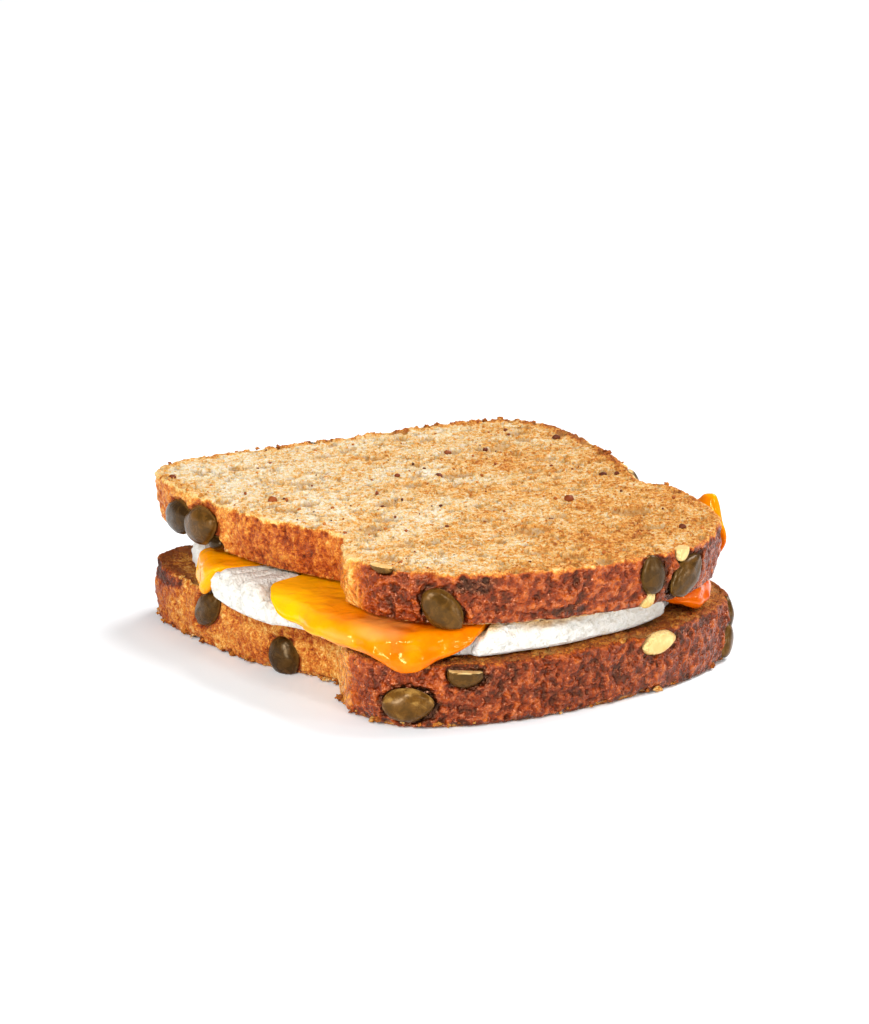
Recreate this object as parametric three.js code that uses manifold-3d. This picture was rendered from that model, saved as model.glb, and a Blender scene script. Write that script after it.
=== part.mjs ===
// Egg sandwich, closed: a lower slice of seeded loaf, a cooked egg-white patty, a slice of melted
// cheese that hangs over the patty's edge, and an upper slice. Millimetres, +Z up.
// X runs across the slices, the loaf's domed crown faces -Y and its flat base faces +Y.
// The origin is the centre of the box round the whole sandwich, on the surface it stands on.

import * as THREE from 'three';
import { mergeVertices } from 'three/addons/utils/BufferGeometryUtils.js';
import Module from 'manifold-3d';

// ---------------------------------------------------------------- driving dimensions, mm

const GAP = 0.35; // air between one layer and the next
const PRESSED_GAP = 0.5; // air between the patty and the middle of the cheese

// An outline runs round the crust. Each side has a lobe under the crown, a waist behind it where
// the loaf rose out of its tin, a hip, and a rounded corner at the loaf's base.
const UPPER = {
  apex: [8, -58.7], crownPower: 2.1, back: 59.6, backBow: 0.7,
  right: {
    lobe: [47.6, -22], shoulder: [46.6, -14], waist: [43.2, -9], hip: [50, 12],
    side: 53.4, corner: 15,
  },
  left: {
    lobe: [-44.2, -29], shoulder: [-42.9, -21], waist: [-38.6, -14.6], hip: [-49, 10],
    side: -53.6, corner: 11,
  },
  thickness: 12.1, taper: 0.024, faceDish: 0.35, faceRelief: 0.3,
};
const LOWER = {
  apex: [-4, -54.5], crownPower: 2.3, back: 58, backBow: 0.4,
  right: {
    lobe: [50, -26], shoulder: [49, -17], waist: [45, -11], hip: [51, 10],
    side: 54, corner: 14,
  },
  left: {
    lobe: [-46.2, -31.5], shoulder: [-44.2, -22], waist: [-41, -15.2], hip: [-50.5, 9],
    side: -55.2, corner: 13,
  },
  thickness: 14.1, taper: 0, faceDish: 0, faceRelief: 0,
};
const UPPER_BASE_Z = 22; // underside of the upper slice at the middle
const UPPER_TILT = 0.013; // radians, the crown end lies lower

const CRUST_RELIEF = 0.42; // height of the crags on the crust
const CRUST_GRAIN = 4.2; // length over which they rise and fall
const OUTLINE_STEPS = 96;

// The patty: a rounded square, thick at its free rim and pressed flat under the cheese.
const EGG = {
  left: -50.6, right: 46, front: -51.3, back: 53,
  frontLeft: 34, frontRight: 43, backRight: 22, backLeft: 21,
  underCheese: 19.7, rimSlope: 3.6, waviness: 0.5,
};
const EGG_STEPS = 80;

// The cheese: a thin sheet whose edge either ends on the patty or runs over it and hangs down.
const CHEESE = { sheet: 1.25, hang: 2.3, bend: 2.1, sideTurn: 0.006 };
const CHEESE_STEPS = 90;

// Round the cheese by compass angle in degrees: how far out its edge lies compared with the patty's
// rim, and how far it hangs below the bend.
const CHEESE_EDGE = [
  { at: 0, past: -6, drop: 0 },
  { at: 25, past: -8, drop: 0 },
  { at: 60, past: -12, drop: 0 },
  { at: 100, past: -15, drop: 0 },
  { at: 132, past: -10, drop: 0 },
  { at: 146, past: -5, drop: 0 },
  { at: 151.5, past: 2.1, drop: 2 },
  { at: 156, past: 2.8, drop: 4.4 },
  { at: 160, past: 2.1, drop: 2 },
  { at: 169.5, past: -9, drop: 0 },
  { at: 177.5, past: -9.5, drop: 0 },
  { at: 187.5, past: 1.9, drop: 0 },
  { at: 194, past: 2.4, drop: 0.6 },
  { at: 207, past: 2.5, drop: 1.1 },
  { at: 219, past: 2.8, drop: 2.4 },
  { at: 230, past: 4.8, drop: 5.2 },
  { at: 236, past: 3.2, drop: 1.8 },
  { at: 241, past: 1.7, drop: 0 },
  { at: 247, past: -6, drop: 0 },
  { at: 264, past: -8, drop: 0 },
  { at: 280, past: -7, drop: 0 },
  { at: 292, past: -5, drop: 0 },
  { at: 300, past: 3, drop: 0.6 },
  { at: 306, past: 5.6, drop: 3.4 },
  { at: 312, past: 5.8, drop: 2.8 },
  { at: 318, past: 5, drop: 0.4 },
  { at: 325, past: 6, drop: 0.6 },
  { at: 335, past: 7, drop: 1 },
  { at: 343, past: 6.2, drop: 0.4 },
  { at: 351, past: -5, drop: 0 },
];

// The lip of cheese that has welled out on the right and stands against the upper crust. It
// narrows towards its top.
const LIP = {
  at: [50, -23.6, 26.3], halfSize: [1.85, 9, 7.1], turn: 0.06, narrowing: 0.2, steps: [14, 8],
};

// Pumpkin seeds baked into the crust: compass angle, height above the slice's underside, length,
// width, thickness, turn of the long axis from level, and how far the seed stands out.
const UPPER_SEEDS = [
  { at: 142.6, height: 4.9, size: [11.5, 8, 4.6], turn: 8, proud: 2.4 },
  { at: 151, height: 5.2, size: [12, 8.8, 5], turn: 20, proud: 3 },
  { at: 155.6, height: 1.9, size: [5, 3, 2.6], turn: 10, proud: 1.2 },
  { at: 221.8, height: 10.9, size: [5.8, 2.6, 2.6], turn: -6, proud: 0.7 },
  { at: 235.3, height: 4.6, size: [11, 7.2, 4.2], turn: -52, proud: 2 },
  { at: 281.8, height: 7.4, size: [8.8, 6.2, 3.6], turn: 100, proud: 1.3 },
  { at: 291.4, height: 5.3, size: [11, 7.4, 4], turn: 36, proud: 1.9 },
  { at: 289.3, height: 10.6, size: [4.8, 3.6, 3], turn: 70, proud: 0.9 },
  { at: 281.2, height: 1.7, size: [4.2, 3, 2.4], turn: 40, proud: 0.8 },
  { at: 359.4, height: 8.4, size: [10.5, 7, 4], turn: 12, proud: 2.3 },
];
const LOWER_SEEDS = [
  { at: 157, height: 9.4, size: [11, 6.8, 4.2], turn: 44, proud: 1.9 },
  { at: 181.5, height: 4.6, size: [10.5, 8, 4.2], turn: -78, proud: 1.5 },
  { at: 228.7, height: 5.3, size: [11, 7.2, 4.4], turn: 5, proud: 2.2 },
  { at: 240, height: 10.6, size: [7.4, 4.4, 3.2], turn: -8, proud: 0.9 },
  { at: 288.4, height: 10.4, size: [9, 5.2, 3.6], turn: 9, proud: 1.3 },
  { at: 316, height: 4.6, size: [8.5, 5.6, 3.8], turn: 70, proud: 1.8 },
  { at: 318.5, height: 11.2, size: [8, 5, 3.4], turn: 80, proud: 1.4 },
];
// On the rest of each crust the seeds lie at even angles, shifted and turned by a seeded draw.
const SPREAD_SEEDS = {
  from: 14, to: 128, upperCount: 6, lowerCount: 7, upperDraw: 5, lowerDraw: 11,
  size: [10.6, 7, 4], proud: 1.5,
};

const KNIFE = { reach: 200, sunk: 0.3 }; // size of a cutting block, and how far under the face it cuts

const TAU = Math.PI * 2;

// ---------------------------------------------------------------- small helpers

const radians = (degrees) => THREE.MathUtils.degToRad(degrees);
const { lerp, smoothstep } = THREE.MathUtils;

// Repeatable random numbers from 0 to 1.
function seededDraw(seed) {
  let state = seed;
  return () => {
    state = (state * 1664525 + 1013904223) % 4294967296;
    return state / 4294967296;
  };
}

// Smooth bumps between about -1 and 1, that rise and fall over the given length.
function ripple(x, y, z, length) {
  const u = x / length;
  const v = y / length;
  const w = z / length;
  const across = Math.sin(u * 1.7 + 2.1 * Math.sin(v * 0.9 + w));
  const broad = across * Math.cos(v * 1.9 - 1.4 * Math.sin(u * 0.8));
  const fine = Math.sin(u * 3.7 - v * 2.9 + w * 3.3 + 1.1 * Math.sin(v * 2.3 + w * 2));
  return 0.65 * broad + 0.35 * fine;
}

// A closed smooth curve through 2-D points, as evenly spaced samples.
function smoothLoop(points, steps) {
  const corners = points.map(([x, y]) => new THREE.Vector3(x, y, 0));
  const curve = new THREE.CatmullRomCurve3(corners, true, 'centripetal');
  curve.arcLengthDivisions = steps * 12;
  return curve.getSpacedPoints(steps).slice(0, steps);
}

// How far from the origin a closed outline lies in a direction.
function radiusTowards(outline, angle) {
  const along = new THREE.Vector2(Math.cos(angle), Math.sin(angle));
  for (let i = 0; i < outline.length; i += 1) {
    const a = outline[i];
    const b = outline[(i + 1) % outline.length];
    const sideA = along.x * a.y - along.y * a.x;
    const sideB = along.x * b.y - along.y * b.x;
    const ahead = along.x * a.x + along.y * a.y > 0;
    if (ahead && sideA <= 0 && sideB > 0) {
      const share = sideA / (sideA - sideB);
      return Math.hypot(lerp(a.x, b.x, share), lerp(a.y, b.y, share));
    }
  }
  throw new Error('outline does not go round the origin');
}

// A closed body from rings of equal count that run from the bottom pole, out, up and in to the top.
function loft(rings, bottomPole, topPole) {
  const count = rings[0].length;
  const positions = rings.flat().flatMap((p) => [p.x, p.y, p.z]);
  positions.push(...bottomPole.toArray(), ...topPole.toArray());
  const bottom = rings.length * count;
  const top = bottom + 1;
  const index = [];
  for (let i = 0; i < count; i += 1) {
    const next = (i + 1) % count;
    index.push(bottom, next, i);
    for (let r = 0; r + 1 < rings.length; r += 1) {
      const low = r * count;
      const high = low + count;
      index.push(low + i, low + next, high + next, low + i, high + next, high + i);
    }
    index.push(top, (rings.length - 1) * count + i, (rings.length - 1) * count + next);
  }
  const geometry = new THREE.BufferGeometry();
  geometry.setAttribute('position', new THREE.Float32BufferAttribute(positions, 3));
  geometry.setIndex(index);
  return geometry;
}

// ---------------------------------------------------------------- joining small solids

const wasm = await Module();
wasm.setup();

function toSolid(geometry) {
  const bare = geometry.clone();
  bare.deleteAttribute('normal');
  bare.deleteAttribute('uv');
  const merged = mergeVertices(bare, 1e-5);
  return new wasm.Manifold(new wasm.Mesh({
    numProp: 3,
    vertProperties: new Float32Array(merged.getAttribute('position').array),
    triVerts: new Uint32Array(merged.getIndex().array),
  }));
}

function toGeometry(solid) {
  const { vertProperties, triVerts } = solid.getMesh();
  const geometry = new THREE.BufferGeometry();
  geometry.setAttribute('position', new THREE.Float32BufferAttribute(vertProperties, 3));
  geometry.setIndex(new THREE.Uint32BufferAttribute(triVerts, 1));
  return geometry;
}

// ---------------------------------------------------------------- bread

// Points of the crown between its apex and a lobe, on a rounded quarter.
function crownQuarter(slice, lobe) {
  const [apexX, apexY] = slice.apex;
  return [1, 2, 3].map((k) => {
    const t = (k * Math.PI) / 8;
    const out = Math.sin(t) ** (2 / slice.crownPower);
    const forward = Math.cos(t) ** (2 / slice.crownPower);
    return [apexX + (lobe[0] - apexX) * out, lobe[1] + (apexY - lobe[1]) * forward];
  });
}

// The corner at the loaf's base, from the side round to the back.
function baseCorner(slice, { side, corner }) {
  const inward = -Math.sign(side);
  return [0, 45, 90].map((degrees) => [
    side + inward * corner * (1 - Math.cos(radians(degrees))),
    slice.back - corner * (1 - Math.sin(radians(degrees))),
  ]);
}

function sliceOutline(slice) {
  const { left, right } = slice;
  return smoothLoop([
    slice.apex,
    ...crownQuarter(slice, right.lobe),
    right.lobe, right.shoulder, right.waist, right.hip,
    ...baseCorner(slice, right),
    [0, slice.back + slice.backBow],
    ...baseCorner(slice, left).reverse(),
    left.hip, left.waist, left.shoulder, left.lobe,
    ...crownQuarter(slice, left.lobe).reverse(),
  ], OUTLINE_STEPS);
}

// From the underside to the face: height, and how far the edge is rounded in from the outline.
function crustProfile(thickness) {
  const face = thickness;
  return [
    [0, 1.3], [0.5, 0.35], [2.6, 0], [5.6, -0.15],
    [face - 3.2, 0], [face - 0.9, 0.25], [face - 0.15, 1],
  ];
}

function outwardNormals(outline) {
  return outline.map((_, i) => {
    const before = outline[(i + outline.length - 1) % outline.length];
    const after = outline[(i + 1) % outline.length];
    return new THREE.Vector3(after.y - before.y, before.x - after.x, 0).normalize();
  });
}

function makeSlice(slice) {
  const outline = sliceOutline(slice);
  const normals = outwardNormals(outline);
  const { thickness } = slice;
  const wall = crustProfile(thickness).map(([height, inset]) => outline.map((p, i) => {
    const shrink = 1 - slice.taper * (1 - height / thickness);
    const crag = height > 0 ? CRUST_RELIEF * ripple(p.x, p.y, height * 2, CRUST_GRAIN) : 0;
    const edge = new THREE.Vector3(p.x * shrink, p.y * shrink, height);
    return edge.addScaledVector(normals[i], crag - inset);
  }));
  const faceScales = [0.93, 0.84, 0.71, 0.55, 0.37, 0.18];
  const faceHeight = (x, y, scale) => thickness
    - slice.faceDish * (1 - scale ** 4)
    + slice.faceRelief * ripple(x, y, 0, CRUST_GRAIN * 2) * smoothstep(1 - scale, 0, 0.2);
  const face = faceScales.map((scale) => outline.map((p) => (
    new THREE.Vector3(p.x * scale, p.y * scale, faceHeight(p.x * scale, p.y * scale, scale)))));
  const underside = [0.3, 0.9].map((scale) => outline.map((p) => {
    const shrink = scale * (1 - slice.taper);
    return new THREE.Vector3(p.x * shrink, p.y * shrink, 0);
  }));
  const middle = new THREE.Vector3(0, 0, faceHeight(0, 0, 0));
  return { outline, geometry: loft([...underside, ...wall, ...face], new THREE.Vector3(), middle) };
}

// A pumpkin seed: a flattened oval, blunt at one end and drawn to a soft point at the other.
function makeSeed([length, width, thickness]) {
  const geometry = new THREE.SphereGeometry(0.5, 8, 4);
  geometry.rotateZ(-Math.PI / 2);
  const position = geometry.getAttribute('position');
  for (let i = 0; i < position.count; i += 1) {
    const narrow = 1 - 0.5 * Math.max(0, position.getX(i)) ** 1.5;
    position.setX(i, position.getX(i) * length);
    position.setY(i, position.getY(i) * width * narrow);
    position.setZ(i, position.getZ(i) * thickness * narrow);
  }
  return geometry;
}

// Puts a seed on the crust: long axis turned in the plane of the crust, thickness pointing out.
function placeSeed(slice, { outline }, seed) {
  const angle = radians(seed.at);
  const reach = radiusTowards(outline, angle) * (1 - slice.taper * (1 - seed.height / slice.thickness));
  const nudge = radians(2);
  const from = radiusTowards(outline, angle - nudge);
  const to = radiusTowards(outline, angle + nudge);
  const along = new THREE.Vector3(
    to * Math.cos(angle + nudge) - from * Math.cos(angle - nudge),
    to * Math.sin(angle + nudge) - from * Math.sin(angle - nudge),
    0,
  ).normalize();
  const out = new THREE.Vector3(along.y, -along.x, 0);
  const up = new THREE.Vector3(0, 0, 1);
  const centre = new THREE.Vector3(reach * Math.cos(angle), reach * Math.sin(angle), seed.height)
    .addScaledVector(out, seed.proud - seed.size[2] / 2);
  const frame = new THREE.Matrix4().makeBasis(along, up, out).setPosition(centre);
  return makeSeed(seed.size).rotateZ(radians(seed.turn)).applyMatrix4(frame);
}

// Seeds for the rest of the crust: even angles, with drawn shifts, heights, sizes and turns.
function spreadSeeds(slice, count, seed) {
  const draw = seededDraw(seed);
  const { from, to, size, proud } = SPREAD_SEEDS;
  return Array.from({ length: count }, (_, k) => {
    const at = lerp(from, to, (k + 0.5 + 0.5 * (draw() - 0.5)) / count);
    const scale = lerp(0.8, 1.05, draw());
    return {
      at,
      height: slice.thickness * lerp(0.38, 0.66, draw()),
      size: size.map((side) => side * scale),
      turn: lerp(-60, 60, draw()),
      proud: proud * scale,
    };
  });
}

// Fuses the seeds to a slice, each cut off level with the slice's underside and face, as by the knife.
function addSeeds(slice, body, seeds) {
  const { reach, sunk } = KNIFE;
  const block = new THREE.BoxGeometry(reach, reach, reach);
  const below = toSolid(block.clone().translate(0, 0, -reach / 2));
  const above = toSolid(block.clone().translate(0, 0, slice.thickness - sunk + reach / 2));
  const joined = seeds.reduce(
    (solid, seed) => solid.add(toSolid(placeSeed(slice, body, seed)).subtract(below).subtract(above)),
    toSolid(body.geometry),
  );
  return toGeometry(joined);
}

const lowerBody = makeSlice(LOWER);
const upperBody = makeSlice(UPPER);
const lowerSpread = spreadSeeds(LOWER, SPREAD_SEEDS.lowerCount, SPREAD_SEEDS.lowerDraw);
const upperSpread = spreadSeeds(UPPER, SPREAD_SEEDS.upperCount, SPREAD_SEEDS.upperDraw);
const lowerSlice = addSeeds(LOWER, lowerBody, [...LOWER_SEEDS, ...lowerSpread]);
const upperSlice = addSeeds(UPPER, upperBody, [...UPPER_SEEDS, ...upperSpread]);

// Height of the upper slice's underside over a point.
const upperUnderside = (y) => UPPER_BASE_Z + UPPER_TILT * y;

// ---------------------------------------------------------------- egg white

function eggOutline() {
  const { left, right, front, back } = EGG;
  const shape = new THREE.Shape();
  shape.absarc(left + EGG.frontLeft, front + EGG.frontLeft, EGG.frontLeft, Math.PI, 1.5 * Math.PI);
  shape.absarc(right - EGG.frontRight, front + EGG.frontRight, EGG.frontRight, 1.5 * Math.PI, TAU);
  shape.absarc(right - EGG.backRight, back - EGG.backRight, EGG.backRight, 0, 0.5 * Math.PI);
  shape.absarc(left + EGG.backLeft, back - EGG.backLeft, EGG.backLeft, 0.5 * Math.PI, Math.PI);
  shape.closePath();
  return shape.getSpacedPoints(EGG_STEPS).slice(0, EGG_STEPS);
}

const eggRim = eggOutline();

// The cheese's edge in a direction, eased between the neighbouring entries of the table.
function cheeseEdge(angle) {
  const degrees = THREE.MathUtils.euclideanModulo(THREE.MathUtils.radToDeg(angle), 360);
  const after = CHEESE_EDGE.findIndex((entry) => entry.at > degrees);
  const high = after < 0 ? { ...CHEESE_EDGE[0], at: 360 } : CHEESE_EDGE[after];
  const low = after < 0 ? CHEESE_EDGE[CHEESE_EDGE.length - 1] : CHEESE_EDGE[after - 1];
  const share = smoothstep(degrees, low.at, high.at);
  const reach = radiusTowards(eggRim, angle) + lerp(low.past, high.past, share);
  return { reach, drop: lerp(low.drop, high.drop, share), past: lerp(low.past, high.past, share) };
}

// The patty's top: pressed down under the cheese, and up to the bread outside it.
function eggTop(x, y) {
  const pressed = EGG.underCheese + UPPER_TILT * y;
  const free = upperUnderside(y) - GAP;
  const beyond = Math.hypot(x, y) - cheeseEdge(Math.atan2(y, x)).reach - 1.6;
  return lerp(pressed, free, smoothstep(beyond, 0, EGG.rimSlope));
}

function makeEgg() {
  const base = LOWER.thickness + GAP;
  const normals = outwardNormals(eggRim);
  const ring = (inset, heightOf) => eggRim.map((p, i) => {
    const wave = EGG.waviness * ripple(p.x, p.y, 0, 3.1);
    const point = new THREE.Vector3(p.x, p.y, 0).addScaledVector(normals[i], wave - inset);
    point.z = heightOf(point);
    return point;
  });
  const share = (part, sink) => (p) => lerp(base, eggTop(p.x, p.y) - sink, part);
  const wall = [
    ring(0.7, () => base),
    ring(0.15, () => base + 0.7),
    ring(0, share(0.4, 0)),
    ring(0.25, share(0.7, 0)),
    ring(1, share(1, 0.6)),
    ring(2.6, share(1, 0)),
  ];
  const scaled = (scale, heightOf) => eggRim.map((p) => (
    new THREE.Vector3(p.x * scale, p.y * scale, heightOf(p.x * scale, p.y * scale))));
  const underside = [scaled(0.5, () => base)];
  const top = [0.88, 0.8, 0.68, 0.45].map((scale) => scaled(scale, eggTop));
  return loft(
    [...underside, ...wall, ...top],
    new THREE.Vector3(0, 0, base),
    new THREE.Vector3(0, 0, eggTop(0, 0)),
  );
}

// ---------------------------------------------------------------- cheese

// The middle line of the sheet in one direction, as distance out, height and the sheet's own normal.
function cheesePath(angle) {
  const { reach, drop, past } = cheeseEdge(angle);
  const level = (r) => EGG.underCheese + UPPER_TILT * r * Math.sin(angle) + PRESSED_GAP + CHEESE.sheet / 2;
  const over = smoothstep(past, 0.2, 1.2);
  const bendStart = reach - CHEESE.bend;
  const path = [0.5, 0.86].map((share) => (
    { r: bendStart * share, z: level(bendStart * share), tip: 0, half: CHEESE.sheet / 2 }));
  const thick = lerp(CHEESE.sheet, CHEESE.hang, over) / 2;
  for (const share of [0, 0.5, 1]) {
    const tip = share * over * (Math.PI / 2);
    const flat = (1 - over) * share * CHEESE.bend;
    path.push({
      r: bendStart + over * CHEESE.bend * Math.sin(tip) + flat,
      z: level(bendStart) - over * CHEESE.bend * (1 - Math.cos(tip)),
      tip,
      half: lerp(CHEESE.sheet / 2, thick, share),
    });
  }
  const last = path[path.length - 1];
  for (const share of [0.5, 1]) {
    path.push({
      r: last.r + (1 - over) * share * 0.8,
      z: last.z - over * drop * share,
      tip: last.tip,
      half: last.half,
    });
  }
  return path;
}

// The sheet as a closed body, made thicker all round by the given margin.
function makeCheeseSheet(margin) {
  const angles = Array.from({ length: CHEESE_STEPS }, (_, i) => (i / CHEESE_STEPS) * TAU);
  const paths = angles.map(cheesePath);
  const stations = paths[0].length;
  const point = (i, { r, z, tip, half }, side) => {
    const offset = side * (half + margin);
    const out = r + offset * Math.sin(tip);
    const up = z + offset * Math.cos(tip);
    return new THREE.Vector3(out * Math.cos(angles[i]), out * Math.sin(angles[i]), up);
  };
  const rounding = (k) => (k === stations - 1 ? 0.55 : 1);
  const rings = [];
  for (let k = 0; k < stations; k += 1) {
    rings.push(paths.map((path, i) => point(i, { ...path[k], half: path[k].half * rounding(k) }, -1)));
  }
  for (let k = stations - 1; k >= 0; k -= 1) {
    rings.push(paths.map((path, i) => point(i, { ...path[k], half: path[k].half * rounding(k) }, 1)));
  }
  const middle = EGG.underCheese + PRESSED_GAP;
  return loft(
    rings,
    new THREE.Vector3(0, 0, middle - margin),
    new THREE.Vector3(0, 0, middle + CHEESE.sheet + margin),
  );
}

function makeCheeseLip() {
  const lip = new THREE.SphereGeometry(1, ...LIP.steps).rotateX(Math.PI / 2);
  const position = lip.getAttribute('position');
  for (let i = 0; i < position.count; i += 1) {
    position.setY(i, position.getY(i) * (1 - LIP.narrowing * (1 + position.getZ(i))));
  }
  lip.scale(...LIP.halfSize);
  lip.rotateZ(LIP.turn);
  return lip.translate(...LIP.at);
}

const cheese = toGeometry(toSolid(makeCheeseSheet(0)).add(toSolid(makeCheeseLip())));

// The patty's rim gives way where the sheet's edge runs over it. The sheet is turned a little each
// way for this, which keeps air beside its edge too.
const egg = toGeometry([-CHEESE.sideTurn, CHEESE.sideTurn].reduce(
  (solid, turn) => solid.subtract(toSolid(makeCheeseSheet(GAP).rotateZ(turn))),
  toSolid(makeEgg()),
));

// ---------------------------------------------------------------- the sandwich

function makeMaterial(color, roughness) {
  return new THREE.MeshStandardMaterial({ color, roughness, metalness: 0, flatShading: true });
}

const breadLower = new THREE.Mesh(lowerSlice, makeMaterial('#a9541f', 0.6));
breadLower.name = 'bread_lower';

const eggWhite = new THREE.Mesh(egg, makeMaterial('#efece2', 0.45));
eggWhite.name = 'egg_white';

const cheeseSlice = new THREE.Mesh(cheese, makeMaterial('#ffa31a', 0.25));
cheeseSlice.name = 'cheese';

const breadUpper = new THREE.Mesh(upperSlice, makeMaterial('#c98a45', 0.65));
breadUpper.name = 'bread_upper';
breadUpper.position.z = UPPER_BASE_Z;
breadUpper.rotation.x = UPPER_TILT;

const sandwich = new THREE.Group();
sandwich.add(breadLower, eggWhite, cheeseSlice, breadUpper);

// Moves the whole so that the origin is the bottom centre of its box.
sandwich.updateMatrixWorld(true);
const box = new THREE.Box3().setFromObject(sandwich, true);
const centre = box.getCenter(new THREE.Vector3());
sandwich.position.set(-centre.x, -centre.y, -box.min.z);

export default sandwich;
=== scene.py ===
"""Egg sandwich: fine surfaces, materials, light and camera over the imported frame.

Lengths are millimetres until a mesh is made, and metres in Blender. Directions round the
sandwich are compass angles in degrees, from +X towards +Y.
"""
import functools
import itertools
import math

import bpy
import numpy as np
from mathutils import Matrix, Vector


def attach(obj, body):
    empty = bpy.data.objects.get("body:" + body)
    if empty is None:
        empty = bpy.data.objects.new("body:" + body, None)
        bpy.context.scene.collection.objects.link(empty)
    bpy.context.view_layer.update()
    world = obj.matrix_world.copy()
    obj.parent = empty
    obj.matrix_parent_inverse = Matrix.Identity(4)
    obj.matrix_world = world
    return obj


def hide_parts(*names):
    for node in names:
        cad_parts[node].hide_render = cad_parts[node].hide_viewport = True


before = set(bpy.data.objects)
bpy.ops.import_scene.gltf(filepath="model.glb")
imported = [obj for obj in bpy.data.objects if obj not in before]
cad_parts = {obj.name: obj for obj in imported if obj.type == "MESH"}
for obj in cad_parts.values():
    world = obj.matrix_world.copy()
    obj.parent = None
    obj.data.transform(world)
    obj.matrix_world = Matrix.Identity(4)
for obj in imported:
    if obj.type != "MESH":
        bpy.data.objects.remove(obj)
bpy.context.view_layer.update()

MM = 0.001
SHIFT = np.array([0.179, -0.909, 0.0])  # from the modelling origin to the frame's
TAU = 2 * math.pi

# ---- sizes of the layers

UPPER = dict(
    name="bread_upper",
    apex=(8, -58.7), crown_power=2.1, back=59.6, back_bow=0.7,
    right=dict(lobe=(47.6, -22), shoulder=(46.6, -14), waist=(43.2, -9), hip=(50, 12),
               side=53.4, corner=15),
    left=dict(lobe=(-44.2, -29), shoulder=(-42.9, -21), waist=(-38.6, -14.6), hip=(-49, 10),
              side=-53.6, corner=11),
    thickness=12.1, taper=0.024, dish=0.35, base=22.0, tilt=0.013,
)
LOWER = dict(
    name="bread_lower",
    apex=(-4, -54.5), crown_power=2.3, back=58, back_bow=0.4,
    right=dict(lobe=(50, -26), shoulder=(49, -17), waist=(45, -11), hip=(51, 10),
               side=54, corner=14),
    left=dict(lobe=(-46.2, -31.5), shoulder=(-44.2, -22), waist=(-41, -15.2), hip=(-50.5, 9),
              side=-55.2, corner=13),
    thickness=14.1, taper=0.0, dish=0.0, base=0.0, tilt=0.0,
)
# The patty: a rounded square with its own radius at each corner.
EGG = dict(
    left=-50.6, right=46, front=-51.3, back=53,
    front_left=34, front_right=43, back_right=22, back_left=21,
    under_cheese=19.7, rim_slope=2.4, base=14.45,
)
GAP = 0.35  # between the patty's free top and the bread over it
PRESSED_GAP = 0.5  # the same under the cheese
CHEESE = dict(sheet=1.25, hang=1.84, bend=2.625)
# Compass angle, how far the edge lies past the patty's rim, how far it hangs below the bend.
CHEESE_EDGE = np.array([
    (0, -6, 0), (25, -8, 0), (60, -12, 0), (100, -15, 0), (132, -10, 0), (147, -8, 0),
    (151.6, 0.9, 2.2), (155, 1.3, 4.4), (159, 1.4, 5.1), (162, 1.3, 4.3), (164.2, 1.1, 2.2),
    (165.4, 0.7, 0.8), (166.4, -2, 0), (167.4, -10, 0), (168.6, -17, 0), (179.5, -17, 0),
    (182.6, -6, 0), (187.6, -2.5, 0), (191.4, 0.9, 0.2), (194, 1.3, 0.3), (198, 1.9, 0.6),
    (207, 2.4, 1.1), (219, 2.8, 2.4), (230, 4.8, 5.2),
    (236, 3.2, 1.8), (241, 1.7, 0), (247, -6, 0), (264, -8, 0), (280, -7, 0), (292, -5, 0),
    (300, 3, 0.6), (306, 5.6, 3.4), (312, 5.8, 2.8), (318, 5, 0.4), (325, 6, 0.6),
    (335, 7, 1), (343, 6.2, 0.4), (351, -5, 0), (360, -6, 0),
], float)
# The small tongue of cheese that sticks out past the upper slice on the right.
LIP = dict(at=(50.5, -23.6, 26.0), half=(2.1, 9.4, 6.9), turn=0.06, narrowing=0.26)

# Seeds: compass angle, height, length, width, thickness, turn, how far it stands out, tone, cut.
# Tone runs from 0, dark, over 1, olive, to 2, cream. Cut is the share that the knife left of the
# thickness, or, where it is negative, of the width.
SEED_FIELDS = ("at", "height", "length", "width", "thick", "turn", "proud", "tone", "cut")
UPPER_SEEDS = [
    (144.6, 4.7, 11.5, 8, 4.6, 8, 2.4, 0.45, 1),
    (152, 5.3, 12, 8.8, 5, 20, 3, 0.95, 1),
    (155.6, 1.9, 5, 3, 2.6, 10, 1.2, 0.3, 1),
    (221.8, 11.6, 5.8, 2.6, 2.6, -6, 0.8, 1.1, 1),
    (235.3, 3.4, 11, 7.2, 4.2, -52, 2, 0.95, 1),
    (281.8, 7.4, 8.8, 6.2, 3.6, 100, 1.3, 0.6, 1),
    (291.4, 5.3, 11, 7.4, 4, 36, 1.9, 0.8, 1),
    (289.3, 11.2, 4.8, 3.6, 3, 70, 1.0, 2.0, 0.84),
    (281.2, 1.7, 4.2, 3, 2.4, 40, 0.8, 1.9, 1),
    (359.4, 8.4, 10.5, 7, 4, 12, 2.3, 1.0, 1),
]
LOWER_SEEDS = [
    (157, 9.4, 11, 6.8, 4.2, 44, 1.9, 0.8, 1),
    (181.3, 3.4, 9.6, 8, 4.2, -78, 1.6, 0.6, 1),
    (228.7, 5.3, 11, 7.2, 4.4, 5, 2.2, 1.15, 1),
    (240, 11.5, 7.6, 5.4, 3.2, -6, 1.3, 0.9, -0.66),
    (288.4, 11.3, 9.8, 5.0, 3.6, 4, 1.4, 2.0, 0.86),
    (316, 4.6, 8.5, 5.6, 3.8, 70, 1.8, 1.0, 1),
    (318.5, 9.6, 7.6, 5, 3.4, 80, 1.5, 0.8, 1),
]
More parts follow.
